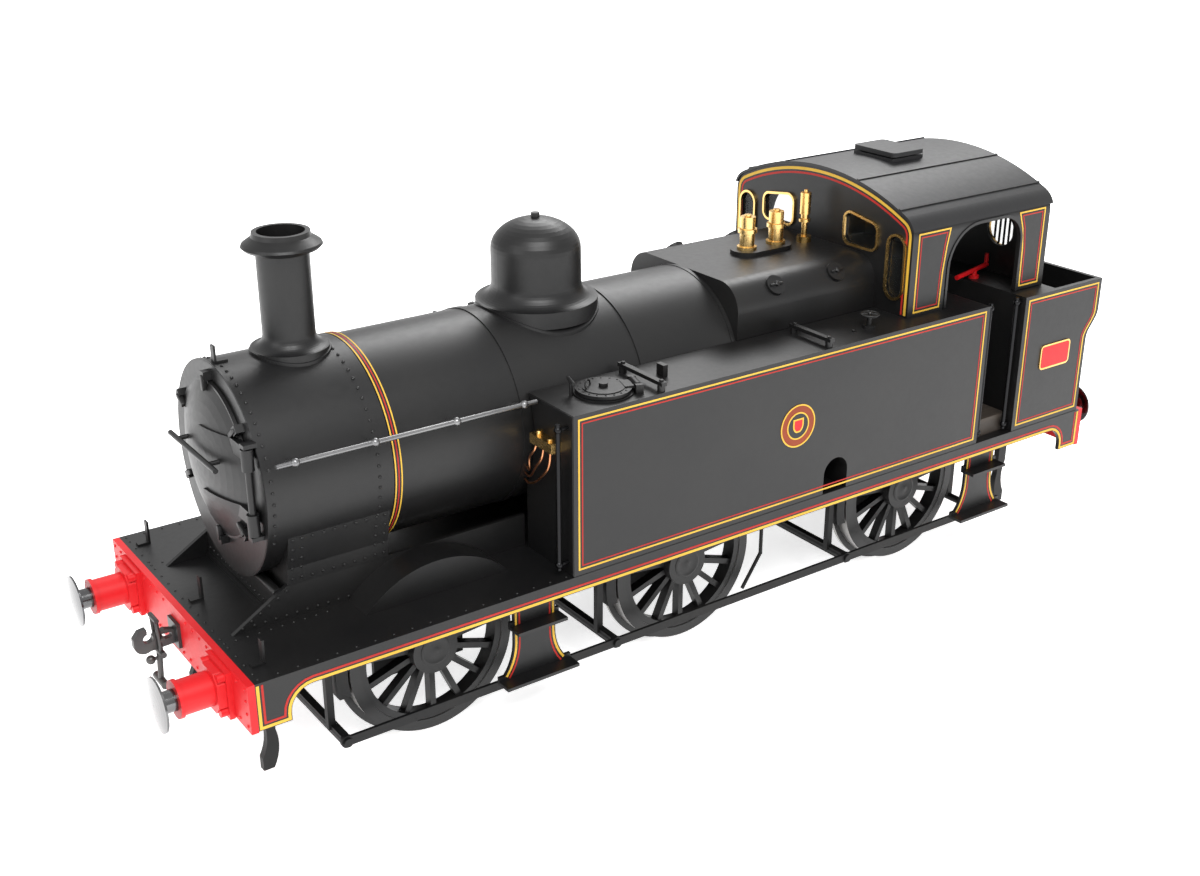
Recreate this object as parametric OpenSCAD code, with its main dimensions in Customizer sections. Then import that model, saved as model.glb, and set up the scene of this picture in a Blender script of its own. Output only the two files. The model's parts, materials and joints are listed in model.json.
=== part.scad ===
// Six-coupled side-tank shunting locomotive, a 7 mm to the foot scale model.
// Millimetres. +X runs forward to the smokebox, +Y to the left, +Z up.
// The origin lies midway between the buffer heads, on the surface that the wheel flanges stand on.

/* [Running plate] */
// Length over the outer faces of the two buffer beams
length_over_beams = 197.2; // [180:0.2:240]
// Width over the running plate
plate_w = 61.0; // [56:0.2:74]
// Height of the top of the running plate
plate_top = 29.8; // [29:0.1:34]
// Thickness of the running plate
plate_t = 1.0; // [0.6:0.1:2]
// Depth of the valance, measured from the top of the plate
valance_h = 3.0; // [2:0.1:5]
// Thickness of the valance
valance_t = 0.8; // [0.5:0.1:1.2]
// Length of the deep part of the valance at each end
valance_end_len = 5.6; // [4:0.1:8]
// Thickness of a buffer beam
beam_t = 1.2; // [0.8:0.1:2]
// Height of the bottom edge of the beams
beam_bottom = 21.2; // [18:0.1:24]

/* [Buffers and couplings] */
// Reach of the buffer heads beyond the outer faces of the beams
buffer_reach = 11.2; // [10.8:0.1:12]
// Distance between the two buffers of one end
buffer_spacing = 40.0; // [34:0.2:48]
// Height of the buffer centres
buffer_z = 25.1; // [24:0.1:27]
// Radius of a buffer head
buffer_head_r = 4.6; // [3.6:0.1:5.6]
// Thickness of a buffer head at its rim
buffer_head_t = 0.35; // [0.3:0.05:0.6]
// Radius of the shank that slides in the stock
shank_r = 1.8; // [1.4:0.1:2]
// Travel of a sprung buffer
buffer_travel = 1.6; // [1:0.1:1.8]
// Radius of the tube of a buffer stock
stock_r = 2.9; // [2.4:0.1:3.4]
// Length of a buffer stock in front of the beam
stock_len = 8.0; // [6.4:0.1:8]
// Side of the square foot of a stock
stock_foot = 8.4; // [7:0.1:9]

/* [Wheels and rods] */
// Radius of the wheel tread
tread_r = 16.05; // [13.4:0.05:17]
// Depth of the flange
flange_h = 1.2; // [1:0.05:1.5]
// Distance between the inner faces of a pair of wheels
back_to_back = 29.0; // [28:0.1:30]
// Width of a tyre
tyre_w = 3.6; // [3:0.1:4]
// Width of the flange
flange_w = 0.8; // [0.6:0.1:1]
// Thickness of the tyre outside the rim
tyre_t = 1.9; // [1.4:0.1:2.4]
// Front axle to driving axle
front_wheelbase = 56.0; // [46.7:0.5:60]
// Driving axle to rear axle
rear_wheelbase = 59.5; // [49:0.5:64]
// Position of the driving axle
driving_x = 3.95; // [0:0.05:8]
// Radius of the axles
axle_r = 2.4; // [1.8:0.1:2.9]
// Radius of the wheel hub
hub_r = 4.4; // [3.6:0.1:5.2]
// Height of the hub face beyond the tyre face
hub_proud = 1.0; // [0.4:0.1:1.2]
// Number of spokes
spoke_count = 15; // [10:1:18]
// Thickness of a spoke
spoke_t = 1.1; // [0.8:0.1:1.6]
// Distance from the axle to the crankpin
crank_throw = 6.4; // [5.4:0.1:7.6]
// Radius of the crankpins
crankpin_r = 1.2; // [0.9:0.05:1.5]
// Height of the coupling rod between its bosses
rod_h = 2.5; // [2:0.1:3.2]
// Thickness of the coupling rod
rod_t = 1.3; // [1:0.1:1.6]
// Radial clearance of a running fit
fit = 0.05; // [0.02:0.01:0.1]

/* [Boiler] */
// Radius of the boiler cladding
boiler_r = 18.0; // [15:0.1:18.4]
// Height of the boiler centre line
boiler_z = 52.35; // [50:0.05:56]
// Radius of the smokebox wrapper
smokebox_r = 18.3; // [15.3:0.1:19]
// Front face of the smokebox
smokebox_front_x = 88.0; // [84:0.1:92]
// Length of the smokebox
smokebox_len = 22.4; // [19.4:0.1:27]
// Thickness of the smokebox wrapper and front plate
smokebox_t = 0.9; // [0.6:0.1:1.4]
// Radius of the smokebox door
door_r = 13.6; // [11.4:0.1:13.8]
// Height of the centre of the door above the boiler centre line
door_rise = 1.95; // [0:0.05:2.2]
// How far the door bulges forward
door_bulge = 2.6; // [1.6:0.1:3.4]
// Front end of the firebox
firebox_x = -8.5; // [-14:0.1:-4]
// Half the width of the firebox
firebox_half_w = 16.9; // [14.2:0.1:17.3]
// Height of the top of the firebox
firebox_top = 70.4; // [70:0.1:74]
// Radius of the shoulders of the firebox
shoulder_r = 5.4; // [3:0.1:8]

/* [Boiler mountings] */
// Position of the chimney
chimney_x = 74.0; // [72:0.1:77]
// Height of the top of the chimney
chimney_top = 90.4; // [84:0.1:98]
// Radius of the chimney tube
chimney_r = 4.35; // [4.3:0.05:5.2]
// Radius of the cap at its widest
cap_r = 6.6; // [5.9:0.1:7.9]
// Radius of the chimney bore
flue_r = 3.9; // [3:0.1:4]
// Position of the dome
dome_x = 25.5; // [20:0.1:31]
// Radius of the dome
dome_r = 8.2; // [6.9:0.1:9.8]
// Height of the top of the dome
dome_top = 85.4; // [80:0.1:92]
// Position of the middle of the safety valve seat
valve_seat_x = -28.6; // [-30:0.1:-26]
// Distance between the two safety valves
valve_spacing = 7.6; // [6.4:0.1:8.4]
// Position of the whistle
whistle_x = -40.2; // [-41.5:0.1:-39]

/* [Tanks] */
// Front end of the side tanks
tank_front_x = 38.3; // [34:0.1:41]
// Rear end of the side tanks
tank_rear_x = -64.0; // [-66:0.1:-62]
// Height of the tank tops
tank_top = 59.9; // [56:0.1:62]
// Distance from the centre line to the inner edge of a tank top
tank_inner_y = 15.7; // [14:0.1:16.5]
// How far the tank sides stand in from the edge of the running plate
tank_inset = 0.1; // [0:0.1:1]
// Clearance between the tanks and what they clasp
tank_gap = 0.25; // [0.2:0.05:0.5]
// Position of the filler along the tank
filler_x = 27.7; // [26:0.1:31]
// Distance of the filler from the centre line
filler_y = 24.1; // [23.7:0.1:24.6]
// How far the filler is turned about its own centre, in degrees
filler_turn = -18; // [-30:1:30]
// Radius of the filler lid
lid_r = 4.9; // [4.8:0.1:5.1]
// Radius of the filler mouth
mouth_r = 4.0; // [3:0.1:4.2]

/* [Cab and bunker] */
// Front sheet of the cab
cab_front_x = -44.3; // [-46:0.1:-42]
// Length of the cab over its end sheets
cab_len = 40.4; // [34:0.1:42]
// Width of the cab over its side sheets
cab_w = 52.4; // [50:0.1:56]
// Thickness of the cab sheets
sheet_t = 0.8; // [0.6:0.1:1.2]
// Height of the cab roof at the centre line
roof_top = 85.6; // [85:0.1:90]
// Outer radius of the middle of the cab roof
roof_r = 55.0; // [50:0.1:60]
// Outer radius of the rolled shoulders of the roof
roof_shoulder_r = 4.5; // [3.5:0.1:5]
// Thickness of the roof
roof_t = 0.5; // [0.4:0.1:0.8]
// Height of the cab floor
floor_top = 33.6; // [33.5:0.1:36]
// Rear edge of the doorway, where the bunker starts
bunker_front_x = -75.0; // [-76:0.1:-74]
// Lower part of the bunker back
bunker_back_x = -96.6; // [-97.2:0.1:-94]
// How far the bunker back flares out at the top
bunker_flare = 3.0; // [1:0.1:3.2]
// Height of the top of the bunker
bunker_top = 59.7; // [56:0.1:62]
// Thickness of the bunker plates
bunker_t = 1.0; // [0.6:0.1:1.6]

/* [Hidden] */
$fn = 64;

black = [0.09, 0.09, 0.10];
frame_black = [0.12, 0.12, 0.13];
red = [0.75, 0.10, 0.08];
steel = [0.78, 0.78, 0.80];
brass = [0.80, 0.62, 0.28];
clear_glass = [0.70, 0.80, 0.85];

// Running plate and beams
beam_face_x = length_over_beams / 2;
beam_back_x = beam_face_x - beam_t;
half_plate = plate_w / 2;
plate_bottom = plate_top - plate_t;

// Wheels
flange_r = tread_r + flange_h;
axle_z = flange_r;
wheel_in_y = back_to_back / 2;
wheel_out_y = wheel_in_y + tyre_w;
hub_face_y = wheel_out_y + hub_proud;
front_x = driving_x + front_wheelbase;
rear_x = driving_x - rear_wheelbase;
axle_xs = [front_x, driving_x, rear_x];
rod_in_y = hub_face_y + 0.3;
rod_out_y = rod_in_y + rod_t;
pin_end_y = rod_out_y + 0.6;
well_r = flange_r + 0.65;
well_y0 = wheel_in_y - 1.0;
well_y1 = hub_face_y + 1.8;
well_half = sqrt(well_r * well_r - pow(plate_bottom - axle_z, 2));

// Boiler, firebox and smokebox
smokebox_rear_x = smokebox_front_x - smokebox_len;
door_z = boiler_z + door_rise;
hinge_y = door_r + 2.1;
hinge_x = smokebox_front_x + 1.3;

// Cab
cab_rear_x = cab_front_x - cab_len;
half_cab = cab_w / 2;
roof_z = roof_top - roof_r;
roof_edge_y = half_cab + roof_t + 0.05;
shoulder_y = roof_edge_y - roof_shoulder_r;
shoulder_z = roof_z + sqrt(pow(roof_r - roof_shoulder_r, 2) - shoulder_y * shoulder_y);
tank_out_y = half_plate - tank_inset;

module each_side() {
    children();
    mirror([0, 1, 0]) children();
}

module each_end() {
    children();
    mirror([1, 0, 0]) children();
}

// Stands a flat outline drawn in X and Z upright, from y0 outward to y1
module upright(y0, y1) {
    translate([0, y1, 0]) rotate([90, 0, 0]) linear_extrude(y1 - y0) children();
}

// Extrudes an outline drawn in Y and Z from x0 forward to x1
module lengthwise(x0, x1) {
    translate([x0, 0, 0]) rotate([90, 0, 90]) linear_extrude(x1 - x0) children();
}

// A round bar between two heights
module post(x, y, z0, z1, r) {
    translate([x, y, z0]) cylinder(h = z1 - z0, r = r);
}

// A round bar along X
module bar_x(x0, x1, y, z, r) {
    translate([x0, y, z]) rotate([0, 90, 0]) cylinder(h = x1 - x0, r = r);
}

// A round bar along Y
module bar_y(x, y0, y1, z, r) {
    translate([x, y1, z]) rotate([90, 0, 0]) cylinder(h = y1 - y0, r = r);
}

// A rounded outline around the corner centres p, which run anticlockwise
module rounded(p, r) {
    polygon(p);
    for (i = [0 : len(p) - 1]) {
        a = p[i];
        b = p[(i + 1) % len(p)];
        out = [b[1] - a[1], a[0] - b[0]] * (r / norm(b - a));
        translate(a) circle(r);
        polygon([a, a + out, b + out, b]);
    }
}

// Space that a pair of wheels turns in
module wheel_wells(axles) {
    for (x = axles) each_side() bar_y(x, well_y0, well_y1, axle_z, well_r);
}

// ---------------------------------------------------------------- running plate

module valance_outline() {
    low = plate_top - valance_h;
    drop_x = beam_back_x - valance_end_len;
    blend = low - beam_bottom - 1.6;
    translate([-beam_back_x, low]) square([2 * beam_back_x, valance_h]);
    each_end_flat() {
        translate([drop_x, beam_bottom + 0.2]) square([valance_end_len, plate_top - beam_bottom - 0.2]);
        difference() {
            translate([drop_x - blend, low - blend]) square([blend + 0.01, blend + 0.01]);
            translate([drop_x - blend, low - blend]) circle(blend);
        }
    }
}

module each_end_flat() {
    children();
    mirror([1, 0]) children();
}

module footplate() {
    color(black) union() {
        difference() {
            translate([-beam_back_x, -half_plate, plate_bottom])
                cube([2 * beam_back_x, plate_w, plate_t]);
            for (x = axle_xs) each_side()
                translate([x - well_half, well_y0, plate_bottom - 1])
                    cube([2 * well_half, well_y1 - well_y0, plate_t + 2]);
        }
        each_side() upright(half_plate - valance_t, half_plate) valance_outline();
    }
}

module buffer_beam() {
    translate([beam_back_x, -half_plate, beam_bottom])
        cube([beam_t, plate_w, plate_top - beam_bottom]);
}

module front_buffer_beam() { color(red) buffer_beam(); }
module rear_buffer_beam() { color(red) mirror([1, 0, 0]) buffer_beam(); }

// ---------------------------------------------------------------- buffers and couplings

module buffer_stock() {
    foot_t = 0.9;
    block_t = 1.4;
    block_w = 3.6;
    block_cut = 1.5;
    bolt_at = 3.1;
    bead_t = 0.7;
    difference() {
        union() {
            translate([0, -stock_foot / 2, -stock_foot / 2]) cube([foot_t, stock_foot, stock_foot]);
            lengthwise(0, foot_t + block_t) polygon([
                [block_w, block_cut - block_w], [block_w, block_w - block_cut],
                [block_w - block_cut, block_w], [block_cut - block_w, block_w],
                [-block_w, block_w - block_cut], [-block_w, block_cut - block_w],
                [block_cut - block_w, -block_w], [block_w - block_cut, -block_w]]);
            bar_x(0, stock_len, 0, 0, stock_r);
            bar_x(stock_len - bead_t, stock_len, 0, 0, stock_r + 0.3);
            for (y = [-bolt_at, bolt_at]) for (z = [-bolt_at, bolt_at]) bar_x(0, 2.1, y, z, 0.75);
        }
        bar_x(foot_t + 0.3, stock_len + 1, 0, 0, shank_r + fit);
    }
}

module buffer_stocks() {
    color(red) each_end() each_side()
        translate([beam_face_x, buffer_spacing / 2, buffer_z]) buffer_stock();
}

// A turned head with its shank, drawn on the front left stock
module buffer_head() {
    head_x = beam_face_x + buffer_reach;
    dish = 0.35;
    dish_r = (buffer_head_r * buffer_head_r + dish * dish) / (2 * dish);
    dish_a = asin(buffer_head_r / dish_r);
    steps = 5;
    rim_x = head_x - dish - buffer_head_t;
    neck = 0.6;
    shank_end = beam_face_x + 1.4 + buffer_travel;
    translate([0, buffer_spacing / 2, buffer_z]) rotate([0, 90, 0]) rotate_extrude() polygon(concat(
        [[0, shank_end], [shank_r, shank_end], [shank_r, rim_x - neck], [3.0, rim_x], [buffer_head_r, rim_x]],
        [for (i = [0 : steps - 1]) [dish_r * sin(dish_a * (1 - i / steps)),
            head_x - dish_r + dish_r * cos(dish_a * (1 - i / steps))]],
        [[0, head_x]]));
}

module front_left_buffer() { color(steel) buffer_head(); }
module front_right_buffer() { color(steel) mirror([0, 1, 0]) buffer_head(); }
module rear_left_buffer() { color(steel) mirror([1, 0, 0]) buffer_head(); }
module rear_right_buffer() { color(steel) mirror([1, 0, 0]) mirror([0, 1, 0]) buffer_head(); }

hook_t = 1.2;
hook_pin_r = 0.45;
hook_pin_x = 2.95;

// The hook is drawn from the face of the beam at the height of the buffers
module draw_hook() {
    translate([beam_face_x, 0, buffer_z]) {
        upright(-hook_t / 2, hook_t / 2) difference() {
            union() {
                polygon([[0, -1.7], [5.2, -2.0], [5.2, 0.2], [4.2, 0.6], [2.2, 1.3], [0, 0.6]]);
                translate([5.7, -0.4]) circle(1.8);
                polygon([[5.9, -0.4], [7.5, -0.4], [7.5, 0.9], [6.5, 2.1], [5.2, 2.25], [5.1, 1.6], [5.9, 1.0]]);
            }
            translate([5.05, 0.4]) circle(0.85);
            translate([4.2, 0.4]) square([0.9, 3]);
            translate([1.5, 0]) circle(0.55);
            translate([hook_pin_x, 0]) circle(hook_pin_r + 0.1);
            translate([1.5, -0.55]) square([hook_pin_x - 1.5, 1.1]);
        }
        translate([0, -2.2, -2.2]) cube([0.6, 4.4, 4.4]);
    }
}

module draw_hooks() { color(frame_black) each_end() draw_hook(); }

// A round bar between two points in the plane y
module link(y, from, to, r) {
    run = norm(to - from);
    lean = atan2(to[0] - from[0], to[1] - from[1]);
    translate([from[0], y, from[1]]) rotate([0, lean, 0]) cylinder(h = run, r = r);
}

// The shackle stands up around the hook, and the screw hangs from its nut
module screw_coupling() {
    top = [3.6, 3.7];
    pin = [hook_pin_x, 0];
    nut = [3.3, -2.55];
    foot = [3.6, -8.3];
    lever = [3.4, -3.9];
    link_y = 1.15;
    translate([beam_face_x, 0, buffer_z]) union() {
        bar_y(pin[0], -link_y - 0.5, link_y + 0.5, pin[1], hook_pin_r);
        bar_y(top[0], -link_y - 0.4, link_y + 0.4, top[1], 0.42);
        bar_y(nut[0], -2.2, 2.2, nut[1], 0.55);
        bar_y(foot[0], -2.2, 2.2, foot[1], 0.7);
        link(0, foot, nut, 0.5);
        link(0, lever, lever + [1.4, 0], 0.3);
        translate([lever[0] + 1.5, 0, lever[1]]) sphere(0.8);
        each_side() link(link_y, nut, top, 0.35);
    }
}

module screw_couplings() { color(frame_black) each_end() screw_coupling(); }

// ---------------------------------------------------------------- frames and brake gear

frame_y = back_to_back / 2 - 1.7;
frame_t = 0.9;
bush_y = wheel_in_y - 0.25;

module frame_outline() {
    dip = axle_z - 6.2;
    translate([-beam_back_x, 20]) square([2 * beam_back_x, plate_bottom - 20]);
    for (x = axle_xs) translate([x - 9, dip]) square([18, 22 - dip]);
    translate([rear_x - 9, dip + 4]) square([front_x - rear_x + 18, 22 - dip - 4]);
}

module main_frames() {
    color(frame_black) difference() {
        union() {
            each_side() {
                upright(frame_y - frame_t, frame_y) frame_outline();
                for (x = axle_xs) bar_y(x, frame_y - 0.1, bush_y, axle_z, axle_r + 1.3);
            }
            for (x = [-88, -30, 32, 84]) translate([x - 1, -frame_y, plate_bottom - 8])
                cube([2, 2 * frame_y, 8]);
        }
        for (x = axle_xs) bar_y(x, -20, 20, axle_z, axle_r + fit);
    }
}

// Motor and gears between the frames, one plain block
module motor() {
    room = plate_bottom - axle_z - axle_r;
    color([0.5, 0.5, 0.52]) translate([-28.9, -9.5, plate_bottom - room + 0.8])
        cube([26, 19, room - 0.8]);
}

module guard_iron() {
    x = beam_back_x - 8;
    upright(wheel_in_y + 0.7, wheel_in_y + 2.1) difference() {
        union() {
            translate([x, 10]) square([2.4, plate_bottom - 10]);
            intersection() {
                translate([x - 0.5, 3.8]) square([3.2, 8]);
                translate([x + 9.2, 8.4]) circle(9.6);
            }
        }
        translate([x + 10.2, 10.4]) circle(8.6);
    }
}

module guard_irons() {
    color(frame_black) each_end() each_side() {
        guard_iron();
        translate([beam_back_x - 8, frame_y, plate_bottom - 4]) cube([2.4, wheel_in_y + 0.7 - frame_y, 4]);
    }
}

// Brakes stand ahead of each wheel; cross beams carry the outside rods
brake_lead = tread_r + 3.3;
brake_z = 7.9;
brake_rod_y = rod_out_y + 1.3;
brake_rod_t = 0.6;
brake_pin_r = 0.8;
hanger_y0 = wheel_in_y + flange_w + 0.4;
hanger_y1 = wheel_out_y;
brake_rod_h = 1.7;
brake_shaft_x = rear_x - tread_r - 5.0;

module brake_set() {
    shoe_gap = 0.4;
    shoe_t = 2.2;
    union() {
        translate([brake_lead - 0.7, -brake_rod_y + 0.5, brake_z - 0.8]) cube([1.4, 2 * brake_rod_y - 1, 1.6]);
        bar_y(brake_lead, -brake_rod_y - 1.1, brake_rod_y + 1.1, brake_z, brake_pin_r);
        each_side() {
            translate([brake_lead - 0.2, hanger_y0 + 0.8, brake_z]) cube([1.3, 1.2, 17.4]);
            intersection() {
                difference() {
                    bar_y(0, hanger_y0, hanger_y1, axle_z, tread_r + shoe_gap + shoe_t);
                    bar_y(0, hanger_y0 - 1, hanger_y1 + 1, axle_z, tread_r + shoe_gap);
                }
                translate([10, 0, axle_z - 4]) cube([20, 30, 10.5]);
            }
            bar_y(brake_lead + 0.45, frame_y, hanger_y0 + 2, brake_z + 17.4 - 1.0, 1.0);
        }
    }
}

module brake_hangers() {
    color(frame_black) for (x = axle_xs) translate([x, 0, 0]) brake_set();
}

module brake_rod() {
    x0 = brake_shaft_x;
    x1 = front_x + brake_lead;
    upright(brake_rod_y, brake_rod_y + brake_rod_t) difference() {
        union() {
            translate([x0, brake_z - brake_rod_h / 2]) square([x1 - x0, brake_rod_h]);
            for (x = axle_xs) translate([x + brake_lead, brake_z]) circle(brake_rod_h / 2 + 0.3);
            translate([x0, brake_z]) circle(brake_rod_h / 2 + 0.3);
        }
        for (x = axle_xs) translate([x + brake_lead, brake_z]) circle(brake_pin_r + fit);
        translate([x0, brake_z]) circle(brake_pin_r + fit);
    }
}

// Both pull rods, and the cross shaft behind the rear wheels that pulls them
module brake_rods() {
    color(frame_black) {
        each_side() brake_rod();
        bar_y(brake_shaft_x, -brake_rod_y - 1.1, brake_rod_y + 1.1, brake_z, brake_pin_r);
        each_side() translate([brake_shaft_x - 0.7, frame_y + 0.2, brake_z])
            cube([1.4, 1.2, plate_bottom - brake_z]);
    }
}

// Sand pipes behind the driving wheels
module sand_pipes() {
    pipe_r = 0.38;
    top_x = driving_x - tread_r - 4.9;
    y = (hanger_y0 + hanger_y1) / 2;
    color(frame_black) each_side() {
        post(top_x, y, 12.4, plate_bottom, pipe_r);
        translate([top_x, y, 12.4]) sphere(pipe_r + 0.05);
        translate([top_x, y, 12.4]) rotate([0, 146, 0]) cylinder(h = 8.2, r = pipe_r);
        translate([top_x - 1.8, y - 1.8, plate_bottom - 2.2]) cube([3.6, 3.6, 2.2]);
    }
}

// ---------------------------------------------------------------- steps and splashers

step_y = half_plate - 3.1;
step_t = 0.6;

module step_plate(x, top_w, foot_w, foot_z) {
    flare_h = 7.0;
    flare_w = (foot_w - top_w) / 2;
    flare_r = (flare_h * flare_h + flare_w * flare_w) / (2 * flare_w);
    upright(step_y - step_t, step_y) difference() {
        translate([x - foot_w / 2, foot_z]) square([foot_w, plate_bottom - foot_z]);
        for (s = [-1, 1]) {
            translate([x + s * (top_w / 2 + flare_r), foot_z + flare_h]) circle(flare_r);
            translate([x + s * (top_w / 2 + foot_w / 2) - foot_w / 2, foot_z + flare_h])
                square([foot_w, plate_bottom]);
        }
    }
}

module tread_plate(x, w, z) {
    translate([x - w / 2, step_y - step_t, z]) cube([w, half_plate - step_y + step_t - 0.2, 0.6]);
    translate([x - w / 2, step_y - step_t, z]) cube([w, step_t, 1.4]);
}

front_step_x = 44.7;
cab_step_x = (tank_rear_x + bunker_front_x) / 2;

module footsteps() {
    color(black) each_side() for (x = [front_step_x, cab_step_x]) union() {
        step_plate(x, 8.6, 14.4, 12.0);
        tread_plate(x, 10.2, 21.8);
        tread_plate(x, 15.0, 11.6);
    }
}

splasher_t = 0.8;

module splashers() {
    face_t = 0.6;
    out_r = well_r + splasher_t;
    color(black) each_side() difference() {
        bar_y(front_x, plate_side_y, well_y1 + face_t, axle_z, out_r);
        bar_y(front_x, plate_side_y - 1, well_y1, axle_z, well_r);
        translate([front_x - 30, 0, -30]) cube([60, 40, plate_top + 30]);
    }
}

// Tops of the main frames that stand above the plate and carry the smokebox
plate_side_y = 15.0;
side_plate_t = 0.8;
side_plate_top = axle_z + well_r + splasher_t;

module front_frame_plates() {
    nose_x = smokebox_front_x + 6.4;
    cross_x = smokebox_front_x - 2.6;
    cross_y = plate_side_y - side_plate_t - 0.03;
    cross_h = 5.6;
    edge_r = 0.8;
    // Plate across the front of the saddle, with a rounded top edge and a bead at its foot
    color(black) difference() {
        union() {
            translate([cross_x, -cross_y, plate_top]) cube([1.2, 2 * cross_y, cross_h - edge_r]);
            translate([cross_x, -cross_y, plate_top]) cube([1.2 - edge_r, 2 * cross_y, cross_h]);
            bar_y(cross_x + 1.2 - edge_r, -cross_y, cross_y, plate_top + cross_h - edge_r, edge_r);
            translate([cross_x, -cross_y, plate_top]) cube([1.6, 2 * cross_y, 1.0]);
        }
        bar_x(cross_x - 1, smokebox_front_x + 1, 0, boiler_z, smokebox_r);
    }
    color(black) each_side() upright(plate_side_y - side_plate_t, plate_side_y) difference() {
        polygon([[nose_x, plate_top], [nose_x - 10, side_plate_top],
            [tank_front_x + 0.2, side_plate_top], [tank_front_x + 0.2, plate_top]]);
        translate([front_x, axle_z]) circle(well_r);
    }
}

// ---------------------------------------------------------------- wheels and rods

module spoked_centre() {
    rim_in = tread_r - tyre_t - 1.3;
    rim_out = tread_r - tyre_t;
    difference() {
        bar_y(0, wheel_in_y + 0.4, wheel_out_y - 0.2, 0, rim_out);
        bar_y(0, wheel_in_y, wheel_out_y, 0, rim_in);
    }
    bar_y(0, wheel_in_y, hub_face_y, 0, hub_r);
    for (i = [0 : spoke_count - 1]) rotate([0, (i + 0.5) * 360 / spoke_count, 0])
        translate([-spoke_t / 2, wheel_in_y + 0.9, hub_r - 0.4])
            cube([spoke_t, tyre_w - 1.7, rim_in - hub_r + 0.8]);
}

// The boss that carries the crankpin, from the hub out to the pin
module crank_boss() {
    boss_r = crankpin_r + 1.3;
    tilt = asin((hub_r - boss_r) / crank_throw);
    upright(wheel_out_y - 1.2, hub_face_y) {
        translate([0, crank_throw]) circle(boss_r);
        polygon([[hub_r * cos(tilt), hub_r * sin(tilt)],
            [boss_r * cos(tilt), crank_throw + boss_r * sin(tilt)],
            [-boss_r * cos(tilt), crank_throw + boss_r * sin(tilt)],
            [-hub_r * cos(tilt), hub_r * sin(tilt)]]);
    }
}

module crankpin() {
    translate([0, 0, crank_throw]) {
        bar_y(0, hub_face_y - 1, pin_end_y, 0, crankpin_r);
        bar_y(0, rod_out_y + 0.1, pin_end_y, 0, crankpin_r + 0.6);
    }
}

module wheel_centre() {
    difference() {
        union() {
            spoked_centre();
            children();
        }
        bar_y(0, wheel_in_y - 1, hub_face_y + 1, 0, axle_r);
    }
}

// Wheels of one axle and the axle itself; the left crank points up and the right one forward
module wheel_pair(x) {
    axle_end = hub_face_y - 0.15;
    color(black) translate([x, 0, axle_z]) {
        bar_y(0, -axle_end, axle_end, 0, axle_r - fit);
        wheel_centre() {
            crank_boss();
            crankpin();
        }
        mirror([0, 1, 0]) wheel_centre() rotate([0, 90, 0]) {
            crank_boss();
            crankpin();
        }
    }
}

module tyre_pair(x) {
    color(steel) translate([x, 0, axle_z]) each_side() difference() {
        union() {
            bar_y(0, wheel_in_y, wheel_out_y, 0, tread_r);
            bar_y(0, wheel_in_y, wheel_in_y + flange_w, 0, flange_r);
        }
        bar_y(0, wheel_in_y - 1, wheel_out_y + 1, 0, tread_r - tyre_t);
    }
}

module front_wheels() { wheel_pair(front_x); }
module front_tyres() { tyre_pair(front_x); }
module driving_wheels() { wheel_pair(driving_x); }
module driving_tyres() { tyre_pair(driving_x); }
module rear_wheels() { wheel_pair(rear_x); }
module rear_tyres() { tyre_pair(rear_x); }

// A coupling rod joins the three crankpins of one side
module coupling_rod() {
    upright(rod_in_y, rod_out_y) difference() {
        union() {
            translate([rear_x, -rod_h / 2]) square([front_x - rear_x, rod_h]);
            for (x = axle_xs) translate([x, 0]) circle(crankpin_r + 1.2);
        }
        for (x = axle_xs) translate([x, 0]) circle(crankpin_r + fit);
    }
}

module left_coupling_rod() {
    color(steel) translate([0, 0, axle_z + crank_throw]) coupling_rod();
}

module right_coupling_rod() {
    color(steel) translate([crank_throw, 0, axle_z]) mirror([0, 1, 0]) coupling_rod();
}

// ---------------------------------------------------------------- smokebox

module smokebox_saddle() {
    foot_y = plate_side_y - side_plate_t;
    seam_z = boiler_z - 7.2;
    seam_y = sqrt(smokebox_r * smokebox_r - pow(boiler_z - seam_z, 2));
    color(black) lengthwise(smokebox_rear_x + 0.4, smokebox_front_x - 3.7) difference() {
        polygon([[-foot_y, plate_top], [foot_y, plate_top], [foot_y, side_plate_top],
            [foot_y + 1, side_plate_top], [foot_y + 1.2, side_plate_top + 3], [seam_y, seam_z],
            [-seam_y, seam_z], [-foot_y - 1.2, side_plate_top + 3], [-foot_y - 1, side_plate_top],
            [-foot_y, side_plate_top]]);
        translate([0, boiler_z]) circle(smokebox_r);
    }
}

module smokebox() {
    color(black) difference() {
        bar_x(smokebox_rear_x, smokebox_front_x - smokebox_t, 0, boiler_z, smokebox_r);
        bar_x(smokebox_rear_x + 1, smokebox_front_x, 0, boiler_z, smokebox_r - smokebox_t);
        post(chimney_x, 0, boiler_z, boiler_z + 30, flue_r);
    }
}

door_hole_r = door_r - 1.0;
pin_low = door_z - 8.0;
pin_high = door_z + 7.9;
hinge_pin_r = 0.6;
dog_angles = [0, 60, 120, 180, 230, 308];

module smokebox_front() {
    plate_x = smokebox_front_x - smokebox_t;
    color(black) {
        difference() {
            union() {
                bar_x(plate_x, smokebox_front_x, 0, boiler_z, smokebox_r);
                for (z = [pin_low, pin_high]) translate([smokebox_front_x - 0.2, hinge_y - 0.8, z - 0.35])
                    cube([hinge_x - smokebox_front_x + 1.0, 1.6, 0.7]);
                post(hinge_x, hinge_y, pin_low, pin_high, hinge_pin_r);
            }
            bar_x(plate_x - 1, smokebox_front_x + 1, 0, door_z, door_hole_r);
        }
        for (a = dog_angles) translate([smokebox_front_x, 0, door_z])
            rotate([a, 0, 0]) translate([0, -0.7, door_r + 0.25]) cube([1.5, 1.4, 1.5]);
    }
}

// Middles of the two hinge barrels
barrel_zs = [door_z - 5.65, door_z + 5.55];
barrel_h = 3.7;
strap_h = 2.4;

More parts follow.
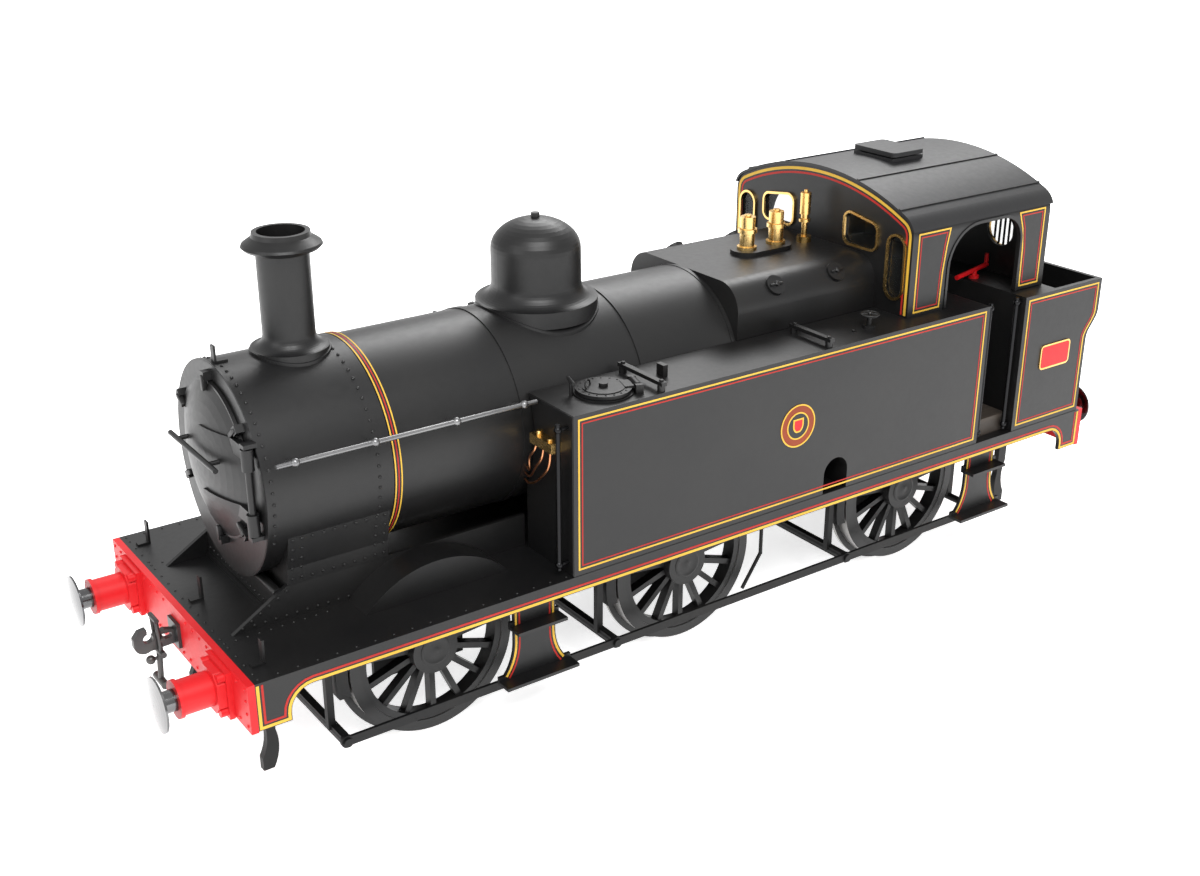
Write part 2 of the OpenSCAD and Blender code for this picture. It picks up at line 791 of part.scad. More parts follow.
// The door is a disc with a thin rim and a bulge; proud raises the whole of its face
module door_disc(proud) {
    rim_t = 0.6;
    steps = 8;
    edge = door_r - 0.4;
    bulge_r = (edge * edge + door_bulge * door_bulge) / (2 * door_bulge);
    bulge_a = asin(edge / bulge_r);
    top = rim_t + door_bulge + proud;
    translate([smokebox_front_x + 0.1, 0, door_z]) rotate([0, 90, 0]) rotate_extrude() polygon(concat(
        [[0, 0], [door_r, 0], [door_r, rim_t + proud], [edge, rim_t + proud]],
        [for (i = [1 : steps - 1]) [bulge_r * sin(bulge_a * (1 - i / steps)),
            top - bulge_r + bulge_r * cos(bulge_a * (1 - i / steps))]],
        [[0, top]]));
}

module smokebox_door() {
    back_x = smokebox_front_x + 0.1;
    rim_t = 0.6;
    rail_x = back_x + rim_t + door_bulge + 1.1;
    rail_z = door_z + 2.2;
    color(black) union() {
        door_disc(0);
        for (z = barrel_zs) {
            high = z + barrel_h / 2;
            intersection() {
                door_disc(0.4);
                lengthwise(back_x + rim_t - 0.3, back_x + 8) polygon([[0.4, high - strap_h / 2 - 0.5],
                    [door_r - 2, high - strap_h], [door_r - 2, high], [0.4, high - strap_h / 2 + 0.5]]);
            }
            difference() {
                union() {
                    post(hinge_x, hinge_y, z - barrel_h / 2, high, 1.0);
                    translate([back_x + 0.3, door_r - 4.6, high - strap_h])
                        cube([hinge_x - back_x, hinge_y - door_r + 4.6, strap_h]);
                }
                post(hinge_x, hinge_y, z - 3, z + 3, hinge_pin_r + fit);
            }
        }
        bar_y(rail_x, -9.8, 9.8, rail_z, 0.45);
        for (y = [-6.5, 6.5]) bar_x(back_x + rim_t, rail_x, y, rail_z, 0.4);
    }
}

// ---------------------------------------------------------------- boiler and mountings

module boiler() {
    color(black) bar_x(firebox_x, smokebox_rear_x, 0, boiler_z, boiler_r);
}

band_xs = [39.5, 13.3];

module boiler_bands() {
    color(black) difference() {
        union() {
            bar_x(smokebox_rear_x - 1.6, smokebox_rear_x - 0.1, 0, boiler_z, boiler_r + 0.35);
            for (x = band_xs) bar_x(x - 0.7, x + 0.7, 0, boiler_z, boiler_r + 0.2);
        }
        bar_x(firebox_x - 1, smokebox_front_x, 0, boiler_z, boiler_r);
    }
}

// A skirt that lies on a round barrel under an upright fitting
module skirt(x, r, barrel_r, t) {
    intersection() {
        post(x, 0, boiler_z + barrel_r * 0.6, boiler_z + barrel_r + 10, r);
        bar_x(x - r - 1, x + r + 1, 0, boiler_z, barrel_r + t);
    }
}

// A turned body with a concave foot, from the skirt up to the tube
module flared_foot(x, z0, foot_r, tube_r) {
    steps = 10;
    blend = foot_r - tube_r;
    translate([x, 0, 0]) rotate_extrude() polygon(concat(
        [[0, z0 - 3], [foot_r, z0 - 3]],
        [for (i = [0 : steps]) [foot_r - blend * sin(i * 90 / steps),
            z0 + blend * (1 - cos(i * 90 / steps))]],
        [[0, z0 + blend]]));
}

module chimney() {
    foot_r = chimney_r + 2.4;
    crown = smokebox_r + boiler_z;
    color(black) difference() {
        union() {
            skirt(chimney_x, foot_r, smokebox_r, 0.5);
            flared_foot(chimney_x, crown + 0.5, foot_r - 0.2, chimney_r);
            post(chimney_x, 0, crown, chimney_top - 3.5, chimney_r);
            translate([chimney_x, 0, chimney_top]) rotate_extrude() polygon([[0, -3.9],
                [chimney_r, -3.9], [chimney_r, -3.5], [chimney_r + 0.3, -3.1], [cap_r - 0.5, -2.8],
                [cap_r, -2.3], [cap_r - 0.2, -1.9], [cap_r - 1.2, -1.2], [chimney_r + 0.5, -0.8],
                [chimney_r + 0.35, 0], [0, 0]]);
        }
        post(chimney_x, 0, boiler_z, chimney_top + 1, flue_r);
        bar_x(chimney_x - 20, chimney_x + 20, 0, boiler_z, smokebox_r);
    }
}

module dome() {
    foot_r = dome_r + 3.0;
    crown = boiler_r + boiler_z;
    cap_h = 5.6;
    steps = 12;
    color(black) difference() {
        union() {
            skirt(dome_x, foot_r + 0.2, boiler_r, 0.4);
            flared_foot(dome_x, crown + 0.4, foot_r, dome_r);
            post(dome_x, 0, crown, dome_top - cap_h + 0.01, dome_r);
            translate([dome_x, 0, dome_top - cap_h]) rotate_extrude() polygon(concat([[0, 0]],
                [for (i = [0 : steps]) [dome_r * cos(i * 90 / steps), cap_h * sin(i * 90 / steps)]]));
            post(dome_x, 0, dome_top - 0.3, dome_top + 0.8, 0.8);
        }
        bar_x(dome_x - 30, dome_x + 30, 0, boiler_z, boiler_r);
    }
}

module firebox_outline(inset = 0) {
    w = firebox_half_w - inset;
    top = firebox_top - inset;
    r = shoulder_r;
    low_w = well_y0 - 0.5;
    translate([-w, 38]) square([2 * w, top - r - 38]);
    translate([-w + r, top - r]) square([2 * (w - r), r]);
    for (s = [-1, 1]) translate([s * (w - r), top - r]) circle(r);
    translate([-low_w, plate_top]) square([2 * low_w, 9]);
}

module firebox() {
    seat_r = 3.3;
    seat_t = 0.9;
    color(black) union() {
        lengthwise(cab_front_x, firebox_x) firebox_outline();
        for (s = [-1, 1]) post(valve_seat_x + s * valve_spacing / 2, 0,
            firebox_top - 0.5, firebox_top + seat_t, seat_r);
        translate([valve_seat_x - valve_spacing / 2, -seat_r, firebox_top - 0.5])
            cube([valve_spacing, 2 * seat_r, seat_t + 0.5]);
    }
}

module safety_valve(x) {
    z = firebox_top + 0.9;
    post(x, 0, z, z + 0.6, 2.0);
    post(x, 0, z, z + 3.6, 1.5);
    post(x, 0, z + 3.4, z + 4.2, 1.9);
    post(x, 0, z + 4.2, z + 6.6, 1.5);
    post(x, 0, z + 6.6, z + 7.0, 0.7);
}

module safety_valves() {
    color(brass) for (s = [-1, 1]) safety_valve(valve_seat_x + s * valve_spacing / 2);
}

module whistle() {
    color(brass) union() {
        post(whistle_x, 0, firebox_top, firebox_top + 1.2, 1.5);
        post(whistle_x, 0, firebox_top, firebox_top + 4.4, 0.6);
        post(whistle_x, 0, firebox_top + 4.2, firebox_top + 4.8, 1.2);
        post(whistle_x, 0, firebox_top + 4.8, firebox_top + 6.0, 0.8);
        post(whistle_x, 0, firebox_top + 5.8, firebox_top + 10.2, 1.1);
        post(whistle_x, 0, firebox_top + 10.0, firebox_top + 10.8, 0.4);
    }
}

washout_xs = [-18.7, -34.4];

module washout_plugs() {
    cover_r = 2.0;
    color(black) each_side() for (x = washout_xs)
        translate([x, firebox_half_w - shoulder_r, firebox_top - shoulder_r]) rotate([-48, 0, 0]) {
            difference() {
                translate([0, 0, shoulder_r - 1]) cylinder(h = 1.5, r = cover_r);
                bar_x(-5, 5, 0, 0, shoulder_r);
            }
        }
}

// ---------------------------------------------------------------- tanks

notch_x = -23.3;
notch_r = 3.1;
notch_top = 36.9;

module tank() {
    difference() {
        union() {
            tank_body();
            at_filler() {
                post(0, 0, -1, 0.3, base_ring_r);
                post(0, 0, -1, filler_h, mouth_r + 0.7);
            }
        }
        at_filler() post(0, 0, -5, 2, mouth_r);
    }
    at_filler() {
        // Lugs that hold the hinge pin of the lid
        for (s = [-1, 1]) translate([-hinge_reach - 0.7, s * 2.2 - 0.4, -0.5])
            cube([1.4, 0.8, lid_hinge_h + 1.2]);
        bar_y(-hinge_reach, -2.2, 2.2, lid_hinge_h, lid_pin_r);
        // Clamp bolt with its cross handle
        post(hinge_reach, 0, -0.5, 2.7, 0.35);
        bar_y(hinge_reach, -1.7, 1.7, 2.7, 0.35);
    }
}

module tank_body() {
    difference() {
        translate([tank_rear_x, tank_inner_y, plate_top])
            cube([tank_front_x - tank_rear_x, tank_out_y - tank_inner_y, tank_top - plate_top]);
        bar_x(tank_rear_x - 1, tank_front_x + 1, 0, boiler_z, boiler_r + 0.2 + tank_gap);
        translate([tank_rear_x - 1, 0, plate_top - 1])
            cube([firebox_x - tank_rear_x + 1 + tank_gap, firebox_half_w + tank_gap, 60]);
        wheel_wells([driving_x, rear_x]);
        bar_y(notch_x, well_y1, tank_out_y + 1, notch_top - notch_r, notch_r);
        translate([notch_x - notch_r, well_y1, plate_top - 1])
            cube([2 * notch_r, tank_out_y, notch_top - notch_r - plate_top + 1]);
    }
}

base_ring_r = 5.25;
filler_h = 0.35;
lid_t = 0.6;
lid_pin_r = 0.4;
hinge_reach = lid_r + 0.9;
lid_hinge_h = filler_h + 0.6;

// Places what is drawn around the middle of the filler, on the tank top
module at_filler() {
    translate([filler_x, filler_y, tank_top]) rotate([0, 0, filler_turn]) children();
}

module left_tank() { color(black) tank(); }
module right_tank() { color(black) mirror([0, 1, 0]) tank(); }

module filler_lid() {
    z = filler_h + 0.05;
    at_filler() difference() {
        union() {
            post(0, 0, z, z + lid_t, lid_r);
            post(0, 0, z, z + lid_t + 0.15, lid_r - 1.2);
            post(0, 0, z + lid_t, z + lid_t + 0.8, 0.8);
            bar_y(-hinge_reach, -1.6, 1.6, lid_hinge_h, lid_pin_r + 0.4);
            translate([-hinge_reach, -1.6, lid_hinge_h - 0.2]) cube([2.4, 3.2, 0.5]);
        }
        bar_y(-hinge_reach, -3, 3, lid_hinge_h, lid_pin_r + fit);
    }
}

module left_filler_lid() { color(black) filler_lid(); }
module right_filler_lid() { color(black) mirror([0, 1, 0]) filler_lid(); }

strap_xs = [19.2, -20.3];

module tank_fittings() {
    bar_h = 1.1;
    color(black) each_side() {
        // Raised bars across the tank tops, each on two pillars
        for (x = strap_xs) {
            y0 = x < firebox_x ? firebox_half_w + 2.0 : tank_inner_y + 1.6;
            y1 = tank_out_y - 0.1;
            translate([x - 0.55, y0, tank_top + bar_h]) cube([1.1, y1 - y0, 0.7]);
            for (y = [y0 + 0.9, y1 - 0.9]) post(x, y, tank_top, tank_top + bar_h + 0.1, 0.7);
        }
        translate([13.9, 22.4, tank_top]) cube([1.0, 2.0, 2.2]);
        post(-34.4, 25.7, tank_top, tank_top + 0.6, 1.3);
        post(-34.4, 25.7, tank_top, tank_top + 2.5, 0.5);
        post(-34.4, 25.7, tank_top + 2.4, tank_top + 2.8, 1.6);
    }
}

module lubricators() {
    color(brass) each_side() union() {
        translate([tank_front_x, 20.0, 52.2]) cube([2.0, 6.6, 1.8]);
        post(tank_front_x + 1.0, 21.6, 53.8, 54.8, 0.6);
        post(tank_front_x + 1.0, 25.0, 53.8, 54.4, 0.6);
    }
}

rail_r = 0.42;
boiler_rail_y = 20.2;
boiler_rail_z = 59.5;
knob_xs = [83.4, 69.6, 54.6, 41.4];
front_rail_x = tank_front_x + 2.0;
front_rail_y = 28.7;
door_rail_y = 29.2;

// Knobs reach in to the barrel along its radius
module boiler_rail() {
    lean = atan2(boiler_rail_y, boiler_rail_z - boiler_z);
    reach = norm([boiler_rail_y, boiler_rail_z - boiler_z]);
    bar_x(tank_front_x + 0.6, 86.6, boiler_rail_y, boiler_rail_z, rail_r);
    for (x = knob_xs) {
        seat = x > smokebox_rear_x ? smokebox_r : boiler_r;
        translate([x, 0, boiler_z]) rotate([-lean, 0, 0]) {
            translate([0, 0, seat]) cylinder(h = reach - seat, r = 0.4);
            translate([0, 0, reach]) sphere(0.75);
        }
    }
}

module stanchion_rail(x, y, z0, z1, seat_x) {
    post(x, y, z0, z1, rail_r);
    for (z = [z0 + 1, z1 - 1]) {
        translate([x, y, z]) sphere(0.7);
        bar_x(min(x, seat_x), max(x, seat_x), y, z, 0.35);
    }
}

module handrails() {
    color(steel) each_side() {
        boiler_rail();
        stanchion_rail(front_rail_x, front_rail_y, 31.2, 58.4, tank_front_x);
        stanchion_rail(tank_rear_x - 1.5, door_rail_y, 30.6, tank_top, tank_rear_x);
        stanchion_rail(bunker_front_x + 1.5, door_rail_y, 30.6, bunker_top, bunker_front_x);
    }
}

module lamp_irons() {
    iron_t = 0.4;
    iron_w = 1.3;
    iron_h = 4.3;
    plate_iron_x = beam_back_x - 3.9;
    crown_x = smokebox_front_x - 0.6;
    color(black) {
        for (y = [-25.3, 0, 25.3]) translate([plate_iron_x, y - iron_w / 2, plate_top]) {
            cube([2.3, iron_w, iron_t]);
            cube([iron_t, iron_w, iron_h]);
        }
        difference() {
            translate([0, -iron_w / 2, boiler_z + smokebox_r - 0.2]) {
                translate([crown_x - 2.3, 0, 0]) cube([2.3, iron_w, iron_t + 0.2]);
                translate([crown_x - iron_t, 0, 0]) cube([iron_t, iron_w, 3.2]);
            }
            bar_x(smokebox_rear_x, smokebox_front_x, 0, boiler_z, smokebox_r);
        }
        for (y = [-20, 0, 20]) translate([bunker_back_x - 0.8, y - iron_w / 2, 36]) {
            cube([0.8, iron_w, 0.5]);
            translate([-iron_t, 0, 0]) cube([iron_t, iron_w, 3.8]);
        }
    }
}

// ---------------------------------------------------------------- cab

spectacle = [[9.3, 73.1], [15.2, 73.1], [15.2, 75.3], [9.3, 76.2]];
spectacle_r = 1.5;
tall_y = 22.2;
tall_r = 2.1;
tall_z = [65.4, 73.6];
rear_window = [14.4, 69.4];
rear_window_r = 3.6;

module tall_slot(grow = 0) {
    for (z = tall_z) translate([tall_y, z]) circle(tall_r + grow);
    translate([tall_y - tall_r - grow, tall_z[0]]) square([2 * (tall_r + grow), tall_z[1] - tall_z[0]]);
}

module window_holes(grow = 0) {
    for (s = [0, 1]) mirror([s, 0]) {
        rounded(spectacle, spectacle_r + grow);
        tall_slot(grow);
    }
}

// The arc of the roof with its rolled shoulders, and straight sides below them
module roof_outline(inset) {
    edge = roof_edge_y - inset;
    wedge = [shoulder_y, shoulder_z - roof_z] * 2;
    intersection() {
        translate([0, roof_z]) circle(roof_r - inset);
        translate([0, roof_z]) polygon([[0, 0], wedge, [-wedge[0], wedge[1]]]);
    }
    for (s = [-1, 1]) translate([s * shoulder_y, shoulder_z]) circle(roof_shoulder_r - inset);
    translate([-edge, roof_z]) square([2 * edge, shoulder_z - roof_z]);
}

module under_roof(y_half, z0) {
    intersection() {
        roof_outline(roof_t + 0.05);
        translate([-y_half, z0]) square([2 * y_half, 60]);
    }
}

module cab_front() {
    gap_half = firebox_half_w + tank_gap;
    color(black) lengthwise(cab_front_x - sheet_t, cab_front_x) difference() {
        union() {
            under_roof(half_cab, tank_top);
            translate([-gap_half, floor_top]) square([2 * gap_half, tank_top - floor_top + 1]);
        }
        window_holes();
    }
}

module cab_side() {
    arch_front = cab_front_x - 10.1;
    arch_rear = bunker_front_x - 1.0;
    arch_top = 76.2;
    front_r = 8.0;
    rear_r = 5.5;
    intersection() {
        upright(half_cab - sheet_t, half_cab) difference() {
            translate([cab_rear_x + sheet_t, tank_top])
                square([cab_len - 2 * sheet_t, 30]);
            translate([arch_front - front_r, arch_top - front_r]) circle(front_r);
            translate([arch_rear + rear_r, arch_top - rear_r]) circle(rear_r);
            polygon([[arch_rear, tank_top - 1], [arch_front, tank_top - 1],
                [arch_front, arch_top - front_r], [arch_front - front_r, arch_top - front_r],
                [arch_front - front_r, arch_top], [arch_rear + rear_r, arch_top],
                [arch_rear + rear_r, arch_top - rear_r], [arch_rear, arch_top - rear_r]]);
        }
        lengthwise(cab_rear_x, cab_front_x) roof_outline(roof_t + 0.05);
    }
}

module cab_left_side() { color(black) cab_side(); }
module cab_right_side() { color(black) mirror([0, 1, 0]) cab_side(); }

module cab_rear() {
    color(black) lengthwise(cab_rear_x, cab_rear_x + sheet_t) difference() {
        under_roof(half_cab, bunker_top);
        for (s = [-1, 1]) translate([s * rear_window[0], rear_window[1]]) circle(rear_window_r);
    }
}

module cab_roof() {
    overhang = 0.3;
    eave_z = shoulder_z + 1.4;
    vent_rear = -67.5;
    vent_front = -58.6;
    vent_y = 5.6;
    lid_z = roof_top + 0.75;
    corner = 0.9;
    color(black) union() {
        lengthwise(cab_rear_x - overhang, cab_front_x + overhang) {
            intersection() {
                difference() {
                    roof_outline(0);
                    roof_outline(roof_t);
                }
                translate([-30, eave_z]) square([60, 30]);
            }
            // Ribs along the roof
            for (a = [-23.8, -11, 11, 23.8]) translate([0, roof_z]) rotate(a)
                translate([-0.25, roof_r - 0.25]) square([0.5, 0.5]);
        }
        // Ventilator: a low frame, and a lid that stands clear of it
        difference() {
            union() {
                translate([vent_rear, -vent_y, roof_top - 2]) cube([vent_front - vent_rear, 2 * vent_y, 2.4]);
                translate([vent_rear + 0.9, -vent_y + 0.9, roof_top - 1])
                    cube([vent_front - vent_rear - 1.8, 2 * vent_y - 1.8, 1.8]);
            }
            bar_x(-80, -50, 0, roof_z, roof_r - 0.2);
        }
        translate([0, 0, lid_z]) {
            translate([vent_rear, -vent_y - 0.4 + corner, 0])
                cube([vent_front - vent_rear, 2 * (vent_y + 0.4 - corner), 0.9]);
            translate([vent_rear + corner, -vent_y - 0.4, 0])
                cube([vent_front - vent_rear - 2 * corner, 2 * vent_y + 0.8, 0.9]);
            for (x = [vent_rear + corner, vent_front - corner]) for (s = [-1, 1])
                post(x, s * (vent_y + 0.4 - corner), 0, 0.9, corner);
        }
    }
}

module cab_floor() {
    in_y = tank_inner_y + tank_gap;
    color(frame_black) difference() {
        union() {
            translate([bunker_front_x, -in_y, plate_top])
                cube([cab_front_x - sheet_t - bunker_front_x, 2 * in_y, floor_top - plate_top]);
            translate([bunker_front_x, -door_rail_y + 1.0, plate_top])
                cube([tank_rear_x - bunker_front_x, 2 * door_rail_y - 2.0, floor_top - plate_top]);
        }
        wheel_wells([rear_x]);
    }
}

module cab_glass() {
    glass_t = 0.3;
    color(clear_glass) {
        lengthwise(cab_front_x - sheet_t / 2 - glass_t / 2, cab_front_x - sheet_t / 2 + glass_t / 2)
            window_holes(-0.02);
        lengthwise(cab_rear_x + sheet_t / 2 - glass_t / 2, cab_rear_x + sheet_t / 2 + glass_t / 2)
            for (s = [-1, 1]) translate([s * rear_window[0], rear_window[1]])
                circle(rear_window_r - 0.02);
    }
}

module window_rims() {
    color(brass) {
        lengthwise(cab_front_x, cab_front_x + 0.5) difference() {
            window_holes(0.5);
            window_holes();
        }
        lengthwise(cab_rear_x - 0.5, cab_rear_x) for (s = [-1, 1])
            translate([s * rear_window[0], rear_window[1]]) difference() {
                circle(rear_window_r + 0.5);
                circle(rear_window_r);
            }
    }
}

module window_bars() {
    bar_r = 0.25;
    color(frame_black) for (s = [-1, 1]) for (i = [-2 : 2]) {
        y = s * rear_window[0] + i * 1.25;
        half = sqrt(pow(rear_window_r + 0.9, 2) - pow(i * 1.25, 2));
        post(cab_rear_x - 0.5 - bar_r, y, rear_window[1] - half, rear_window[1] + half, bar_r);
    }
}

module backhead() {
    depth = 3.4;
    x = cab_front_x - sheet_t;
    color(black) union() {
        lengthwise(x - depth, x) difference() {
            firebox_outline(2.4);
            translate([-30, 0]) square([60, floor_top]);
        }
        bar_x(x - depth - 0.8, x - depth + 0.1, 0, 43, 3.2);
        bar_x(x - depth - 1.4, x - depth + 0.1, 0, 58, 1.0);
        translate([x - depth - 1.4, -5, 57.6]) cube([0.5, 10, 0.8]);
        each_side() post(x - depth - 0.8, 6, 50, 56, 0.5);
        each_side() for (z = [50.5, 55.5]) bar_x(x - depth - 0.8, x - depth + 0.1, 6, z, 0.4);
    }
}

// The handbrake stands on the front of the bunker
module handbrake() {
    color(red) translate([bunker_front_x - 2.0, 14.3, bunker_top]) rotate([0, 0, 14]) union() {
        post(0, 0, 0, 0.6, 1.1);
        post(0, 0, 0, 1.7, 0.6);
        bar_x(-5.8, 7.7, 0, 1.7, 0.5);
        post(-5.4, 0, 1.7, 4.2, 0.45);
    }
}

module bunker() {
    lip_h = 7.0;
    curve_h = 6.0;
    steps = 8;
    lip_z = bunker_top - lip_h;
    back = [for (i = [0 : steps]) [
        bunker_back_x - bunker_flare * (1 - cos(i * 180 / steps)) / 2,
        lip_z - curve_h + curve_h * i / steps]];
    color(black) difference() {
        upright(-tank_out_y, tank_out_y) polygon(concat(
            [[bunker_front_x, plate_top], [bunker_back_x, plate_top]], back,
            [[bunker_back_x - bunker_flare, bunker_top], [bunker_front_x, bunker_top]]));
        upright(-tank_out_y + bunker_t, tank_out_y - bunker_t) polygon(concat(
            [[cab_rear_x - 0.6, 40], [bunker_back_x + bunker_t, 34]],
            [for (p = back) [p[0] + bunker_t, p[1]]],
            [[bunker_back_x - bunker_flare + bunker_t, bunker_top + 1],
            [cab_rear_x - 0.6, bunker_top + 1]]));
    }
}

// ---------------------------------------------------------------- nodes

footplate();
front_buffer_beam();
rear_buffer_beam();
buffer_stocks();
front_left_buffer();
front_right_buffer();
rear_left_buffer();
rear_right_buffer();
draw_hooks();
screw_couplings();
main_frames();
motor();
guard_irons();
brake_hangers();
brake_rods();
sand_pipes();
footsteps();
splashers();
front_frame_plates();
front_wheels();
front_tyres();
driving_wheels();
driving_tyres();
rear_wheels();
rear_tyres();
left_coupling_rod();
right_coupling_rod();
smokebox_saddle();
smokebox();
smokebox_front();
smokebox_door();
chimney();
boiler();
boiler_bands();
dome();
firebox();
safety_valves();
whistle();
washout_plugs();
left_tank();
right_tank();
left_filler_lid();
right_filler_lid();
tank_fittings();
lubricators();
handrails();
lamp_irons();
cab_front();
cab_left_side();
cab_right_side();
cab_rear();
cab_roof();
cab_floor();
cab_glass();
window_rims();
window_bars();
backhead();
handbrake();
bunker();
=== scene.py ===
# %% [markdown]
# A six-coupled side-tank shunting engine, a model at 7 mm to the foot, is dressed here.
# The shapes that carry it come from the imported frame. Blender adds the paint, the lining,
# the rivets, the small castings and the light. All of it works in metres, and the sizes
# below are written in millimetres and turned into metres by MM.

# %% Load the frame
import json
import math
import bpy
from mathutils import Matrix, Vector


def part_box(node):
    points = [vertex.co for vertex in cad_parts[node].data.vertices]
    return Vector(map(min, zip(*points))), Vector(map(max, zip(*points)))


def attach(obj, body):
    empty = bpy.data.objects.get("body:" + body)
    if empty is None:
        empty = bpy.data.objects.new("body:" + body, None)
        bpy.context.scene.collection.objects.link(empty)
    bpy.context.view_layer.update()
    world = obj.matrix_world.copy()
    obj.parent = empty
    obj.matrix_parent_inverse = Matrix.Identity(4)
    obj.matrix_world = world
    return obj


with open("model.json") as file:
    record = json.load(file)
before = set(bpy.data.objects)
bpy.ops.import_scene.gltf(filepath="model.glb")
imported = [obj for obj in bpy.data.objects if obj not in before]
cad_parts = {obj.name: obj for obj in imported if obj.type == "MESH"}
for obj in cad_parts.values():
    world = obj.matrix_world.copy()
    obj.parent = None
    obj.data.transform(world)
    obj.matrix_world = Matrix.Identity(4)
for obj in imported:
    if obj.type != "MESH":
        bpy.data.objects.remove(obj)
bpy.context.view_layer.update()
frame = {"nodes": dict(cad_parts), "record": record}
MM = 0.001
NODES = frame["nodes"]

# %% [markdown]
# A node's box gives the faces that the paint and the castings sit on. Lengths along a face,
# such as how far a line stands in from an edge, are plain millimetres.

# %% Places read from the frame, in millimetres
def edges(node):
    low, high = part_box(node)
    return [v / MM for v in low], [v / MM for v in high]

tank_low, tank_high = edges("left_tank")
bunker_low, bunker_high = edges("bunker")
plate_low, plate_high = edges("footplate")
cab_low, cab_high = edges("cab_left_side")
front_high = edges("cab_front")[1]
smoke_low = edges("smokebox")[0]
face_low, face_high = edges("smokebox_front")
door_low, door_high = edges("smokebox_door")
boiler_low, boiler_high = edges("boiler")
beam_low, beam_high = edges("front_buffer_beam")
fire_high = edges("firebox")[1]
frames_high = edges("front_frame_plates")[1]
TANK_SIDE = tank_high[1]
TANK_TOP = bunker_high[2] + 0.2
PLATE_TOP = beam_high[2]
PLATE_SIDE = plate_high[1]
SMOKE_R = (face_high[2] - face_low[2]) / 2
BOILER_R = (boiler_high[1] - boiler_low[1]) / 2
BOILER_Z = (boiler_low[2] + boiler_high[2]) / 2
SMOKE_FRONT = 88.0
CAB_SIDE = cab_high[1]
print("tank side", round(TANK_SIDE, 2), "smokebox radius", round(SMOKE_R, 2))

# %% [markdown]
# The real model is enamelled satin black with thin yellow and red lines, red beams, bright
# steel tyres and brass fittings. A paint is one shader whose colour wanders a little, whose
# gloss varies where hands touch it, and whose skin has a very fine unevenness.

# %% The paint and metal shader
def finish_of(name, deep, light, rough, metal=0.0, grain=900.0, stretch=(1, 1, 1), bump=0.02,
              coat=0.0, patch=60.0, shine=0.5):
    material = bpy.data.materials.new(name)
    material.use_nodes = True
    tree = material.node_tree
    shader = tree.nodes["Principled BSDF"]
    place = tree.nodes.new("ShaderNodeTexCoord")
    turn = tree.nodes.new("ShaderNodeMapping")
    turn.inputs["Scale"].default_value = stretch
    tree.links.new(place.outputs["Object"], turn.inputs["Vector"])
    cloud = tree.nodes.new("ShaderNodeTexNoise")
    cloud.inputs["Scale"].default_value = patch
    cloud.inputs["Detail"].default_value = 5.0
    fine = tree.nodes.new("ShaderNodeTexNoise")
    fine.inputs["Scale"].default_value = grain
    fine.inputs["Detail"].default_value = 3.0
    for noise in (cloud, fine):
        tree.links.new(turn.outputs["Vector"], noise.inputs["Vector"])
    ramp = tree.nodes.new("ShaderNodeValToRGB")
    ramp.color_ramp.elements[0].position = 0.35
    ramp.color_ramp.elements[1].position = 0.70
    ramp.color_ramp.elements[0].color = (*deep, 1)
    ramp.color_ramp.elements[1].color = (*light, 1)
    tree.links.new(cloud.outputs["Fac"], ramp.inputs["Fac"])
    tree.links.new(ramp.outputs["Color"], shader.inputs["Base Color"])
    span = tree.nodes.new("ShaderNodeMapRange")
    span.inputs["To Min"].default_value = rough - 0.05
    span.inputs["To Max"].default_value = rough + 0.08
    tree.links.new(fine.outputs["Fac"], span.inputs["Value"])
    tree.links.new(span.outputs["Result"], shader.inputs["Roughness"])
    ripple = tree.nodes.new("ShaderNodeBump")
    ripple.inputs["Strength"].default_value = bump
    ripple.inputs["Distance"].default_value = 0.00004
    tree.links.new(fine.outputs["Fac"], ripple.inputs["Height"])
    tree.links.new(ripple.outputs["Normal"], shader.inputs["Normal"])
    shader.inputs["Metallic"].default_value = metal
    shader.inputs["Specular IOR Level"].default_value = shine
    shader.inputs["Coat Weight"].default_value = coat
    shader.inputs["Coat Roughness"].default_value = 0.25
    return material

# %% The finishes of this engine
black_enamel = finish_of("black_enamel", (0.0035, 0.0035, 0.0038), (0.0065, 0.0062, 0.0060), 0.40,
                         bump=0.12, shine=0.38)
roof_black = finish_of("roof_black", (0.007, 0.007, 0.008), (0.011, 0.011, 0.011), 0.46, bump=0.15,
                       shine=0.45)
frame_black = finish_of("frame_black", (0.003, 0.003, 0.0032), (0.006, 0.0055, 0.005), 0.52, bump=0.2,
                        shine=0.3)
red_enamel = finish_of("red_enamel", (0.46, 0.005, 0.008), (0.54, 0.008, 0.011), 0.42, shine=0.3)
bright_steel = finish_of("bright_steel", (0.50, 0.50, 0.51), (0.68, 0.67, 0.66), 0.28, metal=1.0,
                         grain=2500, stretch=(1, 0.15, 1), bump=0.25)
rail_steel = finish_of("rail_steel", (0.16, 0.16, 0.165), (0.26, 0.26, 0.26), 0.34, metal=1.0,
                       grain=2500, stretch=(0.1, 1, 1), bump=0.2)
brass = finish_of("polished_brass", (0.62, 0.38, 0.12), (0.83, 0.58, 0.24), 0.24, metal=1.0, bump=0.1)
copper = finish_of("copper_pipe", (0.60, 0.24, 0.11), (0.78, 0.36, 0.18), 0.28, metal=1.0, bump=0.1)
dark_steel = finish_of("blackened_steel", (0.045, 0.045, 0.048), (0.09, 0.085, 0.08), 0.42,
                       metal=0.8, bump=0.3)
motor_case = finish_of("motor_case", (0.20, 0.20, 0.21), (0.28, 0.28, 0.28), 0.45, metal=0.6)
yellow_line = finish_of("yellow_line", (0.50, 0.30, 0.03), (0.60, 0.38, 0.05), 0.5, shine=0.25)
red_line = finish_of("red_line", (0.30, 0.016, 0.012), (0.38, 0.022, 0.016), 0.5, shine=0.2)
